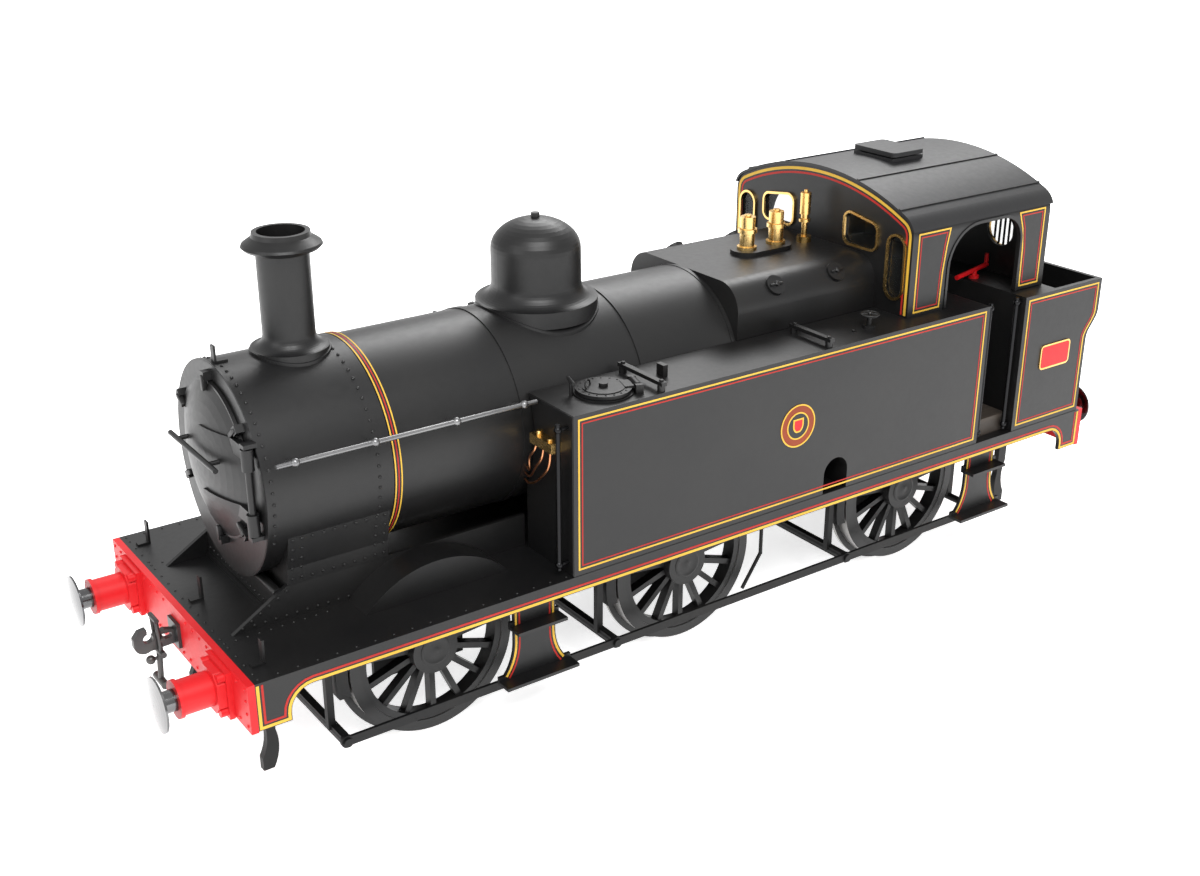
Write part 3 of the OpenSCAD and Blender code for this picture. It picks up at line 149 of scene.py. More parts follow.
cream_paint = finish_of("cream_paint", (0.70, 0.58, 0.35), (0.80, 0.70, 0.48), 0.42)
wood_floor = finish_of("cab_boards", (0.022, 0.017, 0.013), (0.040, 0.030, 0.022), 0.6,
                       stretch=(0.2, 3, 1), patch=400, bump=0.4)

# %% Window glass is a thin dark skin that mostly lets the view through
glazing = finish_of("glazing", (0.006, 0.007, 0.007), (0.010, 0.011, 0.011), 0.09, bump=0.01)
glazing.node_tree.nodes["Principled BSDF"].inputs["IOR"].default_value = 1.46
glazing.node_tree.nodes["Principled BSDF"].inputs["Alpha"].default_value = 0.35

# %% [markdown]
# A wheel is painted on its face and left bright where it runs on the rail. One shader does
# both: it looks at which way the surface points. The boiler rails are steel and the upright
# rails by the tanks are dark, which one shader tells apart by how far out they stand.

# %% Tyres, rails and polished dark buffers
tyre_finish = finish_of("tyre_paint_and_tread", (0.0035, 0.0035, 0.0038), (0.0065, 0.0062, 0.006), 0.38,
                        bump=0.12, shine=0.4)
def across_size(tree, vector):
    split = tree.nodes.new("ShaderNodeSeparateXYZ")
    size = tree.nodes.new("ShaderNodeMath")
    size.operation = "ABSOLUTE"
    tree.links.new(vector, split.inputs["Vector"])
    tree.links.new(split.outputs["Y"], size.inputs[0])
    return size.outputs["Value"]

def colour_where(tree, mask, colour):
    blend = tree.nodes.new("ShaderNodeMix")
    blend.data_type = "RGBA"
    first, second, result = blend.inputs[6], blend.inputs[7], blend.outputs[2]
    ramp = next(n for n in tree.nodes if n.type == "VALTORGB")
    tree.links.new(mask, blend.inputs["Factor"])
    tree.links.new(ramp.outputs["Color"], first)
    second.default_value = (*colour, 1)
    tree.links.new(result, tree.nodes["Principled BSDF"].inputs["Base Color"])

def bright_where_it_runs(material):
    tree = material.node_tree
    surface = tree.nodes.new("ShaderNodeNewGeometry")
    face = tree.nodes.new("ShaderNodeMapRange")
    for key, value in (("From Min", 0.55), ("From Max", 0.65), ("To Min", 1.0), ("To Max", 0.0)):
        face.inputs[key].default_value = value
    tree.links.new(across_size(tree, surface.outputs["Normal"]), face.inputs["Value"])
    colour_where(tree, face.outputs["Result"], (0.42, 0.41, 0.40))
    tree.links.new(face.outputs["Result"], tree.nodes["Principled BSDF"].inputs["Metallic"])

def dark_outside(material, limit):
    tree = material.node_tree
    place = next(n for n in tree.nodes if n.type == "TEX_COORD")
    beyond = tree.nodes.new("ShaderNodeMath")
    beyond.operation = "GREATER_THAN"
    beyond.inputs[1].default_value = limit * MM
    tree.links.new(across_size(tree, place.outputs["Object"]), beyond.inputs[0])
    colour_where(tree, beyond.outputs["Value"], (0.02, 0.02, 0.021))

bright_where_it_runs(tyre_finish)
rail_finish = finish_of("handrail_steel", (0.15, 0.15, 0.155), (0.24, 0.24, 0.24), 0.34, metal=1.0,
                        grain=1500, bump=0.05)
RAIL_SPLIT = 26.0
dark_outside(rail_finish, RAIL_SPLIT)
buffer_steel = finish_of("polished_buffer_steel", (0.10, 0.10, 0.105), (0.17, 0.17, 0.17), 0.16, metal=1.0,
                         grain=1500, bump=0.05)
BY_NODE = {"cab_roof": roof_black, "handrails": rail_finish}
for wheelset in ("front", "driving", "rear"):
    BY_NODE[f"{wheelset}_tyres"] = tyre_finish
for end in ("front", "rear"):
    for side in ("left", "right"):
        BY_NODE[f"{end}_{side}_buffer"] = buffer_steel
for side in ("left", "right"):
    BY_NODE[f"{side}_coupling_rod"] = dark_steel

# %% Paint the frame
FINISHES = {
    "black_paint": black_enamel, "frame_black": frame_black, "red_paint": red_enamel,
    "bright_steel": bright_steel, "rail_steel": rail_steel, "brass": brass,
    "dark_steel": dark_steel, "motor_case": motor_case, "glazing": glazing, "red_lever": red_enamel,
}
SLOT_OF = {row["node"]: row["material_slot"] for row in frame["record"]["subparts"]}
for node, piece in NODES.items():
    finish = BY_NODE.get(node) or FINISHES[SLOT_OF[node]]
    piece.data.materials.clear()
    piece.data.materials.append(finish)
print("painted", len(NODES), "nodes")

# %% [markdown]
# New pieces start as a primitive, are shaped in edit mode and end with their object at the
# origin. A few helpers do the steps that every piece shares.

# %% Helpers that start and end a piece
def start(kind, **how):
    bpy.ops.object.select_all(action="DESELECT")
    getattr(bpy.ops.mesh, f"primitive_{kind}_add")(**how)
    return bpy.context.active_object

def only(*pieces):
    bpy.ops.object.select_all(action="DESELECT")
    for piece in pieces:
        piece.select_set(True)
    bpy.context.view_layer.objects.active = pieces[0]

def settle(piece):
    only(piece)
    bpy.ops.object.transform_apply(location=True, rotation=True, scale=True)
    bpy.ops.object.mode_set(mode="EDIT")
    bpy.ops.mesh.select_all(action="SELECT")
    bpy.ops.mesh.normals_make_consistent(inside=False)
    bpy.ops.object.mode_set(mode="OBJECT")

def keep(name, pieces, material, body="locomotive", smooth=True):
    pieces = [p for p in pieces if p]
    only(*pieces)
    if len(pieces) > 1:
        bpy.ops.object.join()
    piece = bpy.context.active_object
    settle(piece)
    if smooth:
        bpy.ops.object.shade_smooth_by_angle(angle=math.radians(40))
    piece.name = name
    piece.data.name = name
    piece.data.materials.clear()
    piece.data.materials.append(material)
    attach(piece, body)
    print(name, len(piece.data.polygons), "faces")
    return piece

# %% Copies with their own mesh, put in place by a matrix
def copy_of(pattern, matrix):
    twin = pattern.copy()
    twin.data = pattern.data.copy()
    bpy.context.collection.objects.link(twin)
    twin.matrix_world = matrix
    return twin

def facing(at, normal):
    turn = Vector((0, 0, 1)).rotation_difference(Vector(normal)).to_matrix().to_4x4()
    return Matrix.Translation(Vector(at) * MM) @ turn

MIRROR = Matrix.Diagonal((1, -1, 1, 1))

def both_sides(pieces):
    return pieces + [copy_of(p, MIRROR @ p.matrix_world) for p in pieces]

def scatter(pattern, places):
    return [copy_of(pattern, facing(at, normal)) for at, normal in places]

def drop(*pieces):
    for piece in pieces:
        bpy.data.objects.remove(piece)

# %% A turned piece: a disc is drawn up ring by ring
def turned(profile, sides=24, at=(0, 0, 0), normal=(0, 0, 1)):
    radius, height = profile[0]
    piece = start("circle", vertices=sides, radius=radius * MM, fill_type="NGON",
                  location=(0, 0, height * MM))
    bpy.ops.object.mode_set(mode="EDIT")
    bpy.ops.mesh.select_all(action="SELECT")
    for next_radius, next_height in profile[1:]:
        bpy.ops.mesh.extrude_region_move(
            TRANSFORM_OT_translate={"value": (0, 0, (next_height - height) * MM)})
        bpy.ops.transform.resize(value=(next_radius / radius, next_radius / radius, 1))
        radius, height = next_radius, next_height
    bpy.ops.object.mode_set(mode="OBJECT")
    only(piece)
    bpy.ops.object.transform_apply(location=True, rotation=True, scale=True)
    piece.matrix_world = facing(at, normal)
    return piece

# %% A block with eased edges
def block(low, high, ease=0.12, segments=2):
    middle = [(a + b) / 2 * MM for a, b in zip(low, high)]
    piece = start("cube", size=1, location=middle)
    piece.scale = [(b - a) * MM for a, b in zip(low, high)]
    bpy.ops.object.transform_apply(location=True, rotation=True, scale=True)
    bpy.ops.object.mode_set(mode="EDIT")
    bpy.ops.mesh.select_all(action="SELECT")
    bpy.ops.mesh.bevel(offset=ease * MM, segments=segments, affect="EDGES")
    bpy.ops.object.mode_set(mode="OBJECT")
    return piece

# %% [markdown]
# Lining is paint a few hundredths of a millimetre thick. Each line is a flat plate cut to
# the line's own outline: a disc's rim is moved to the corners, and the face is drawn out.

# %% Flat plates on a side, a front or a top
PLANES = {
    "side": (lambda u, v, level: (u, level, v), (0, 1, 0)),
    "front": (lambda u, v, level: (level, u, v), (1, 0, 0)),
    "top": (lambda u, v, level: (u, v, level), (0, 0, 1)),
}

def flat_plate(corners, plane, level, thick=0.04, out=1):
    put, normal = PLANES[plane]
    piece = start("circle", vertices=len(corners), radius=MM, fill_type="NGON")
    for vertex, (u, v) in zip(piece.data.vertices, corners):
        vertex.co = Vector(put(u, v, level)) * MM
    bpy.ops.object.mode_set(mode="EDIT")
    bpy.ops.mesh.select_all(action="SELECT")
    bpy.ops.mesh.extrude_region_move(
        TRANSFORM_OT_translate={"value": Vector(normal) * thick * MM * out})
    bpy.ops.object.mode_set(mode="OBJECT")
    return piece

def offset_path(path, gap, closed):
    count = len(path)
    moved = []
    for i, (x, y) in enumerate(path):
        before = path[(i - 1) % count] if closed or i > 0 else None
        after = path[(i + 1) % count] if closed or i < count - 1 else None
        normals = []
        for a, b in ((before, (x, y)), ((x, y), after)):
            if a is None or b is None:
                continue
            run = math.hypot(b[0] - a[0], b[1] - a[1])
            normals.append(((a[1] - b[1]) / run, (b[0] - a[0]) / run))
        nx = sum(n[0] for n in normals) / len(normals)
        ny = sum(n[1] for n in normals) / len(normals)
        scale = gap / (nx * nx + ny * ny)
        moved.append((x + nx * scale, y + ny * scale))
    return moved

def line(path, plane, level, width, closed=False, thick=0.04, out=1):
    one = offset_path(path, width / 2, closed)
    two = offset_path(path, -width / 2, closed)
    if not closed:
        return [flat_plate(one + two[::-1], plane, level, thick, out)]
    runs = []
    count = len(path)
    for i in range(count):
        j = (i + 1) % count
        runs.append(flat_plate([one[i], one[j], two[j], two[i]], plane, level, thick, out))
    return runs

def arc(cu, cv, radius, start_deg, end_deg, steps=10):
    return [(cu + radius * math.cos(math.radians(start_deg + (end_deg - start_deg) * i / steps)),
             cv + radius * math.sin(math.radians(start_deg + (end_deg - start_deg) * i / steps)))
            for i in range(steps + 1)]

# %% [markdown]
# The tank sides carry a yellow border with a fine red line inside it.

# %% Tank lining
YELLOW_W, RED_W, LINE_GAP = 0.33, 0.24, 0.68
def border(corners, plane, level, inside=1, out=1):
    yellow = line(corners, plane, level, YELLOW_W, True, out=out)
    red = line(offset_path(corners, LINE_GAP * inside, True), plane, level, RED_W, True, out=out)
    return yellow, red

t0, t1 = tank_low[0] + 1.2, tank_high[0] - 1.1
z0, z1 = PLATE_TOP + 1.2, TANK_TOP - 0.95
tank_corners = [(t0, z0), (t1, z0), (t1, z1), (t0, z1)]
yellow, red = border(tank_corners, "side", TANK_SIDE)
keep("tank_lining_yellow", both_sides(yellow), yellow_line, smooth=False)
keep("tank_lining_red", both_sides(red), red_line, smooth=False)

# %% [markdown]
# The bunker carries the same border, which follows the flare of its back. The plates of the
# cab side each have a panel whose inner edge follows the arch of the opening.

# %% Bunker and cab panels
def smooth_step(x0, x1, z0, z1, steps=8):
    return [(x0 + (x1 - x0) * (1 - math.cos(math.pi * i / steps)) / 2, z0 + (z1 - z0) * i / steps)
            for i in range(steps + 1)]

BUNKER_TOP = bunker_high[2]
BUNKER_FRONT = bunker_high[0]
LIP = 7.0
back_low = bunker_low[0] + 3.0
bunker_path = ([(BUNKER_FRONT - 1.2, z0), (back_low + 1.1, z0)]
               + smooth_step(back_low + 1.1, bunker_low[0] + 1.1, BUNKER_TOP - LIP - 6.0, BUNKER_TOP - LIP)
               + [(bunker_low[0] + 1.1, BUNKER_TOP - 0.95), (BUNKER_FRONT - 1.2, BUNKER_TOP - 0.95)])
bunker_yellow, bunker_red = border(bunker_path, "side", bunker_high[1], inside=-1)
CAB_FRONT, CAB_REAR = cab_high[0], cab_low[0]
front_panel = [(CAB_FRONT - 0.9, 60.8), (CAB_FRONT - 0.9, 76.6), (CAB_FRONT - 9.6, 76.6),
               (CAB_FRONT - 8.9, 73.0), (CAB_FRONT - 8.3, 68.0), (CAB_FRONT - 8.0, 60.8)]
rear_panel = [(CAB_REAR + 0.9, 60.8), (CAB_REAR + 6.6, 60.8), (CAB_REAR + 6.8, 69.0),
              (CAB_REAR + 7.4, 73.2), (CAB_REAR + 8.6, 76.6), (CAB_REAR + 0.9, 76.6)]
panel_yellow, panel_red = border(front_panel, "side", CAB_SIDE, inside=1)
rear_yellow, rear_red = border(rear_panel, "side", CAB_SIDE, inside=1)
keep("bunker_lining_yellow", both_sides(bunker_yellow), yellow_line, smooth=False)
keep("bunker_lining_red", both_sides(bunker_red), red_line, smooth=False)
keep("cab_side_lining_yellow", both_sides(panel_yellow + rear_yellow), yellow_line, smooth=False)
keep("cab_side_lining_red", both_sides(panel_red + rear_red), red_line, smooth=False)

# %% [markdown]
# The front of the cab has one line that runs up both sides and under the curve of the roof.
# The roof is an arc between two rolled shoulders, so the line is made of the same arcs, a
# little further in.

# %% Line under the roof edge
ROOF_R, SHOULDER_R, ROOF_TOP = 55.0, 4.5, 85.6
ROOF_Z = ROOF_TOP - ROOF_R
SHOULDER_Y = CAB_SIDE + 0.55 - SHOULDER_R
SHOULDER_Z = ROOF_Z + math.sqrt((ROOF_R - SHOULDER_R) ** 2 - SHOULDER_Y ** 2)
SHOULDER_TURN = math.degrees(math.atan2(SHOULDER_Z - ROOF_Z, SHOULDER_Y))

def under_roof_path(inset):
    half = [(SHOULDER_Y + SHOULDER_R - inset, TANK_TOP + 0.4)]
    half += arc(SHOULDER_Y, SHOULDER_Z, SHOULDER_R - inset, 0, SHOULDER_TURN, 6)
    half += arc(0, ROOF_Z, ROOF_R - inset, SHOULDER_TURN, 90, 14)[1:]
    return half + [(-y, z) for y, z in half[-2::-1]]

keep("cab_front_line_yellow", line(under_roof_path(1.35), "front", front_high[0], 0.6),
     yellow_line, smooth=False)
keep("cab_front_line_red", line(under_roof_path(2.25), "front", front_high[0], 0.42),
     red_line, smooth=False)

# %% [markdown]
# The valance under the running plate is lined along its lower edge. At each end the line
# drops with the plate behind the buffer beam.

# %% Valance and step lines
PLATE_END = plate_high[0]
VALANCE_LOW = PLATE_TOP - 3.0
DROP_X = PLATE_END - 5.6
BLEND = 4.0
def valance_path(inset):
    low = beam_low[2] + 0.2 + inset
    end = [(PLATE_END - inset, PLATE_TOP - 0.4), (PLATE_END - inset, low), (DROP_X + inset, low),
           (DROP_X + inset, VALANCE_LOW - BLEND)]
    end += arc(DROP_X - BLEND, VALANCE_LOW - BLEND, BLEND + inset, 0, 90, 6)[1:]
    return end + [(-x, z) for x, z in end[::-1]]

keep("valance_line_yellow", both_sides(line(valance_path(0.4), "side", PLATE_SIDE, 0.5)),
     yellow_line, smooth=False)
keep("valance_line_red", both_sides(line(valance_path(1.15), "side", PLATE_SIDE, 0.38)),
     red_line, smooth=False)

STEP_Y = PLATE_SIDE - 3.1
def step_edge(x, side, inset):
    flare_w, flare_h = 2.9, 7.0
    radius = (flare_h ** 2 + flare_w ** 2) / (2 * flare_w)
    middle = x + side * (4.3 + radius)
    sweep = math.degrees(math.asin(flare_h / radius))
    start_deg, end_deg = (180, 180 + sweep) if side > 0 else (0, -sweep)
    curve = arc(middle, 19.0, radius + inset, start_deg, end_deg, 6)
    return [(x + side * (4.3 - inset), plate_low[2] + 7.0)] + curve[:-1]

step_xs = (44.7, (tank_low[0] + BUNKER_FRONT) / 2)
for paint, inset, width, name in ((yellow_line, 0.45, 0.42, "step_lines_yellow"),
                                  (red_line, 1.15, 0.32, "step_lines_red")):
    runs = [run for x in step_xs for side in (-1, 1)
            for run in line(step_edge(x, side, inset), "side", STEP_Y, width)]
    keep(name, both_sides(runs), paint, smooth=False)

# %% [markdown]
# Two yellow lines with a red one between them ring the band behind the smokebox. A line on a
# barrel is a hoop: a circle drawn sideways, then given a wall.

# %% Hoops round the barrel
def hoop(x, width, radius, wall=0.05, sides=96):
    piece = start("circle", vertices=sides, radius=radius * MM, fill_type="NOTHING")
    piece.matrix_world = facing((x - width / 2, 0, BOILER_Z), (1, 0, 0))
    only(piece)
    bpy.ops.object.transform_apply(location=True, rotation=True, scale=True)
    bpy.ops.object.mode_set(mode="EDIT")
    bpy.ops.mesh.select_all(action="SELECT")
    bpy.ops.mesh.extrude_region_move(TRANSFORM_OT_translate={"value": (width * MM, 0, 0)})
    bpy.ops.mesh.select_all(action="SELECT")
    bpy.ops.mesh.normals_make_consistent(inside=False)
    bpy.ops.object.mode_set(mode="OBJECT")
    solid = piece.modifiers.new("wall", "SOLIDIFY")
    solid.thickness = wall * MM
    solid.offset = 1
    bpy.ops.object.modifier_apply(modifier="wall")
    return piece

BAND_X = boiler_high[0] - 0.85
band_r = BOILER_R + 0.34
keep("band_lines_yellow", [hoop(BAND_X - 0.55, 0.24, band_r), hoop(BAND_X + 0.55, 0.24, band_r)],
     yellow_line)
keep("band_line_red", [hoop(BAND_X, 0.22, band_r)], red_line)

# %% [markdown]
# A round badge and a number plate sit on the sides. Both are left without lettering.

# %% Badge and plate
def disc_points(u, v, radius, count=40):
    return arc(u, v, radius, 0, 360 - 360 / count, count - 1)

BADGE = (-12.6, 46.1)
badge_disc = flat_plate(disc_points(*BADGE, 4.3), "side", TANK_SIDE, 0.05)
badge_mid = flat_plate(disc_points(*BADGE, 2.55), "side", TANK_SIDE, 0.09)
badge_rings = [run for r in (4.15, 2.6) for run in line(disc_points(*BADGE, r), "side", TANK_SIDE, 0.28,
                                                          True, thick=0.11)]
shield_points = ([(BADGE[0] - 1.15, BADGE[1] + 1.3), (BADGE[0] + 1.15, BADGE[1] + 1.3)]
                 + arc(BADGE[0] - 0.35, BADGE[1] + 0.1, 1.5, 0, -58, 4)
                 + arc(BADGE[0] + 0.35, BADGE[1] + 0.1, 1.5, -122, -180, 4))
badge_shield = flat_plate(shield_points, "side", TANK_SIDE, 0.14)
badge_orange = finish_of("badge_orange", (0.16, 0.026, 0.007), (0.24, 0.040, 0.010), 0.5, shine=0.25)
keep("badge_field", both_sides([badge_disc]), badge_orange, smooth=False)
keep("badge_centre", both_sides([badge_mid]), black_enamel, smooth=False)
keep("badge_rings", both_sides(badge_rings), yellow_line, smooth=False)
shield_edge = line(shield_points, "side", TANK_SIDE, 0.3, True, thick=0.16)
keep("badge_shield", both_sides([badge_shield]), red_enamel, smooth=False)
keep("badge_shield_edge", both_sides(shield_edge), yellow_line, smooth=False)

PLATE_AT, PLATE_HALF = (-86.35, 45.05), (4.75, 2.75)
def rounded_box(half_u, half_v, corner):
    u, v = PLATE_AT
    points = []
    for su, sv, a in ((1, 1, 0), (-1, 1, 90), (-1, -1, 180), (1, -1, 270)):
        points += arc(u + su * (half_u - corner), v + sv * (half_v - corner), corner, a, a + 90, 5)
    return points
keep("number_plate_rim", both_sides([flat_plate(rounded_box(*PLATE_HALF, 1.0), "side", bunker_high[1], 0.22)]),
     brass, smooth=False)
keep("number_plate_field", both_sides([flat_plate(rounded_box(4.35, 2.35, 0.6), "side", bunker_high[1], 0.27)]),
     red_enamel, smooth=False)

# %% [markdown]
# The plates are joined by snap-head rivets. One rivet is made, low and with few faces,
# and each row is a list of places with the way that the head points.

# %% Rivets
rivet = turned([(0.30, -0.02), (0.27, 0.13), (0.13, 0.23)], sides=8)
small_rivet = turned([(0.23, -0.02), (0.20, 0.10), (0.10, 0.17)], sides=8)

def ring_places(x, radius, gap, skip_below=-200.0):
    count = int(2 * math.pi * radius / gap)
    places = []
    for i in range(count):
        a = 2 * math.pi * i / count
        y, z = math.sin(a), math.cos(a)
        if z * radius > skip_below:
            places.append(((x, radius * y, BOILER_Z + radius * z), (0, y, z)))
    return places

def row(a, b, gap, normal):
    a, b = Vector(a), Vector(b)
    count = max(1, round((b - a).length / gap))
    return [(tuple(a.lerp(b, i / count)), normal) for i in range(count + 1)]

def mirrored(places):
    return places + [((x, -y, z), (nx, -ny, nz)) for (x, y, z), (nx, ny, nz) in places]

SMOKE_REAR = smoke_low[0]
ring_rivets = (ring_places(SMOKE_FRONT - 1.3, SMOKE_R, 1.9, -7.5)
               + ring_places(SMOKE_REAR + 2.6, SMOKE_R, 1.9, -7.5))
saddle_low, saddle_high = edges("smokebox_saddle")
SEAM_Z = BOILER_Z - 7.2
SEAM_Y = math.sqrt(SMOKE_R ** 2 - 7.2 ** 2)
PLATES_TOP = frames_high[2]
lean = Vector((0, SEAM_Z - PLATES_TOP - 3, -(SEAM_Y - 15.4))).normalized()
def saddle_point(x, z):
    y = 15.4 + (SEAM_Y - 15.4) * (z - PLATES_TOP - 3) / (SEAM_Z - PLATES_TOP - 3)
    return (x, max(y, 15.2 + (z - PLATES_TOP) * 0.067), z)
saddle_rivets = []
for x in (saddle_high[0] - 0.8, saddle_high[0] - 2.4, saddle_low[0] + 0.9, saddle_low[0] + 2.5):
    saddle_rivets += [(saddle_point(x, z), tuple(lean)) for z in (37.0, 38.9, 40.8, 42.7, 44.6)]
for z in (36.9, 44.6):
    saddle_rivets += row(saddle_point(saddle_low[0] + 4.4, z),
                         saddle_point(saddle_high[0] - 4.3, z), 1.9, tuple(lean))
frame_side = frames_high[1]
low_row, FORWARD, SIDEWAYS, UP = PLATE_TOP + 0.8, (1, 0, 0), (0, 1, 0), (0, 0, 1)
plate_rivets = row((SMOKE_FRONT + 4.6, frame_side, low_row),
                   (SMOKE_FRONT - 3.4, frame_side, PLATES_TOP - 0.9), 1.8, SIDEWAYS)
plate_rivets += row((SMOKE_FRONT + 2.6, frame_side, low_row),
                    (SMOKE_FRONT - 18, frame_side, low_row), 1.9, SIDEWAYS)
deck_x, deck_y = PLATE_END - 1.0, PLATE_SIDE - 1.1
deck_rivets = row((deck_x, deck_y, PLATE_TOP), (tank_high[0] + 1.0, deck_y, PLATE_TOP), 3.3, UP)
deck_rivets += row((deck_x, 16.4, PLATE_TOP), (78.4, 16.4, PLATE_TOP), 1.9, UP)
deck_rivets += row((deck_x, 1.8, PLATE_TOP), (deck_x, PLATE_SIDE - 3.0, PLATE_TOP), 3.1, UP)
cross_x = SMOKE_FRONT - 1.4
cross_rivets = row((cross_x, 0.9, PLATE_TOP + 2.0), (cross_x, 13.2, PLATE_TOP + 2.0), 1.75, FORWARD)
keep("black_rivets", scatter(rivet, ring_rivets + mirrored(saddle_rivets + plate_rivets)), black_enamel)
keep("small_black_rivets", scatter(small_rivet, mirrored(deck_rivets + cross_rivets)), black_enamel)
beam_face = beam_high[0]
BEAM_EDGE, TOP_ROW, LOW_ROW = 29.3, 28.9, 22.2
beam_rows = row((beam_face, 5.0, TOP_ROW), (beam_face, BEAM_EDGE, TOP_ROW), 3.0, FORWARD)
beam_rows += row((beam_face, 2.6, LOW_ROW), (beam_face, BEAM_EDGE, LOW_ROW), 3.0, FORWARD)
beam_rows += row((beam_face, BEAM_EDGE, 24.4), (beam_face, BEAM_EDGE, 26.7), 2.2, FORWARD)
beam_rows = mirrored(beam_rows)
beam_rows += [((-x, y, z), (-1, 0, 0)) for (x, y, z), n in beam_rows]
keep("beam_rivets", scatter(rivet, beam_rows), red_enamel)
bunker_rows = row((bunker_low[0] + 3.0, 1.5, 34.0), (bunker_low[0] + 3.0, 28.5, 34.0), 3.0, (-1, 0, 0))
keep("bunker_back_rivets", scatter(rivet, mirrored(bunker_rows)), black_enamel)
drop(rivet, small_rivet)

# %% [markdown]
# The opening in the cab side has a raised bead round its edge, which is a thin plate cut to
# the arch of the opening.

# %% Bead of the cab opening
ARCH_FRONT, ARCH_REAR, ARCH_TOP = CAB_FRONT - 10.1, BUNKER_FRONT - 1.0, 76.2
def arch_path(grow):
    return ([(ARCH_FRONT + grow, TANK_TOP + 0.3)]
            + arc(ARCH_FRONT - 8.0, ARCH_TOP - 8.0, 8.0 + grow, 0, 90, 8)
            + arc(ARCH_REAR + 5.5, ARCH_TOP - 5.5, 5.5 + grow, 90, 180, 8)
            + [(ARCH_REAR - grow, BUNKER_TOP + 0.1)])
keep("cab_opening_bead", both_sides(line(arch_path(0.35), "side", CAB_SIDE, 0.6, thick=0.18)),
     black_enamel, smooth=False)

# %% [markdown]
# Three copper pipes bend down from the lubricator on the front of each tank, side by side.
# A pipe is a smooth curve with a round section, turned into a mesh.

# %% Pipes
def pipe(name_hint, points, radius, resolution=8):
    path = bpy.data.curves.new(name_hint, "CURVE")
    path.dimensions = "3D"
    path.bevel_depth = radius * MM
    path.bevel_resolution = 3
    path.resolution_u = resolution
    path.use_fill_caps = True
    spline = path.splines.new("BEZIER")
    spline.bezier_points.add(len(points) - 1)
    for knot, point in zip(spline.bezier_points, points):
        knot.co = Vector(point) * MM
        knot.handle_left_type = knot.handle_right_type = "AUTO"
    piece = bpy.data.objects.new(name_hint, path)
    bpy.context.collection.objects.link(piece)
    only(piece)
    bpy.ops.object.convert(target="MESH")
    return bpy.context.active_object

FEED_X = tank_high[0] + 1.1
pipes = []
for i in range(3):
    y = 21.0 + 2.1 * i
    drop_z = 50.6 - 0.9 * i
    pipes.append(pipe(f"feed_{i}", [(FEED_X, y, 52.4), (FEED_X + 0.4, y - 0.1, drop_z + 0.6),
                                    (FEED_X + 0.6, y - 1.6, drop_z - 1.6), (FEED_X + 0.2, 18.6, 46.4 - 1.3 * i),
                                    (FEED_X - 0.3, 17.0 - 0.3 * i, 46.2 - 1.3 * i)], 0.22))
keep("copper_pipes", both_sides(pipes), copper)
nut = turned([(0.42, 0), (0.42, 0.5), (0.3, 0.62)], sides=6)
keep("pipe_nuts", scatter(nut, mirrored([((FEED_X, 21.0 + 2.1 * i, 52.0), (0, 0, 1)) for i in range(3)])),
     brass)
drop(nut)

# %% [markdown]
# The smokebox door is held shut by fingers round its rim. They ride on the door. A thin bead
# runs round the front edge of the smokebox itself.

# %% Door fingers and smokebox edge
DOOR_Z = (door_low[2] + door_high[2]) / 2
DOOR_R = (door_high[2] - door_low[2]) / 2
finger = block((-0.2, -0.42, -2.1), (0.75, 0.42, 0.5), ease=0.15)
fingers = []
for turn in (0, 60, 120, 180, 230, 308):
    a = math.radians(turn)
    at = Vector((SMOKE_FRONT + 1.0, -math.sin(a) * (DOOR_R + 0.6), DOOR_Z + math.cos(a) * (DOOR_R + 0.6)))
    fingers.append(copy_of(finger, Matrix.Translation(at * MM) @ Matrix.Rotation(a, 4, "X")))
keep("door_fingers", fingers, black_enamel, body="smokebox_door")
drop(finger)

keep("smokebox_edge_bead", [hoop(SMOKE_FRONT - 0.3, 0.5, SMOKE_R, 0.2)], black_enamel)

# %% [markdown]
# Each wheel has a turned ring round its axle end and an oil cap on the crankpin. They ride
# on the wheelset, so they turn with it.

# %% Wheel fittings
axle_ring = turned([(2.9, -0.02), (2.9, 0.08), (2.6, 0.16), (2.45, 0.16), (2.3, 0.05), (0.7, 0.05),
                    (0.5, 0.16)], sides=32)
rim_nut = turned([(0.5, 0), (0.5, 0.28), (0.32, 0.4)], sides=6)
CRANK = 6.4
HUB_FACE = edges("left_coupling_rod")[0][1] - 0.3
for wheelset in ("front", "driving", "rear"):
    low, high = edges(f"{wheelset}_tyres")
    wheel_x, wheel_z = (low[0] + high[0]) / 2, (low[2] + high[2]) / 2
    places = [((wheel_x, HUB_FACE, wheel_z), (0, 1, 0)), ((wheel_x, -HUB_FACE, wheel_z), (0, -1, 0))]
    keep(f"{wheelset}_axle_rings", scatter(axle_ring, places), black_enamel, body=f"{wheelset}_wheelset")
    pin_low, pin_high = edges(f"{wheelset}_wheels")
    caps = [((wheel_x, pin_high[1], wheel_z + CRANK), (0, 1, 0)),
            ((wheel_x + CRANK, pin_low[1], wheel_z), (0, -1, 0))]
    keep(f"{wheelset}_pin_caps", scatter(rim_nut, caps), dark_steel, body=f"{wheelset}_wheelset")
drop(axle_ring, rim_nut)

# %% [markdown]
# The tank tops carry the fillers with their riveted lids, a handwheel with spokes, and two
# strap bars with bolt heads.

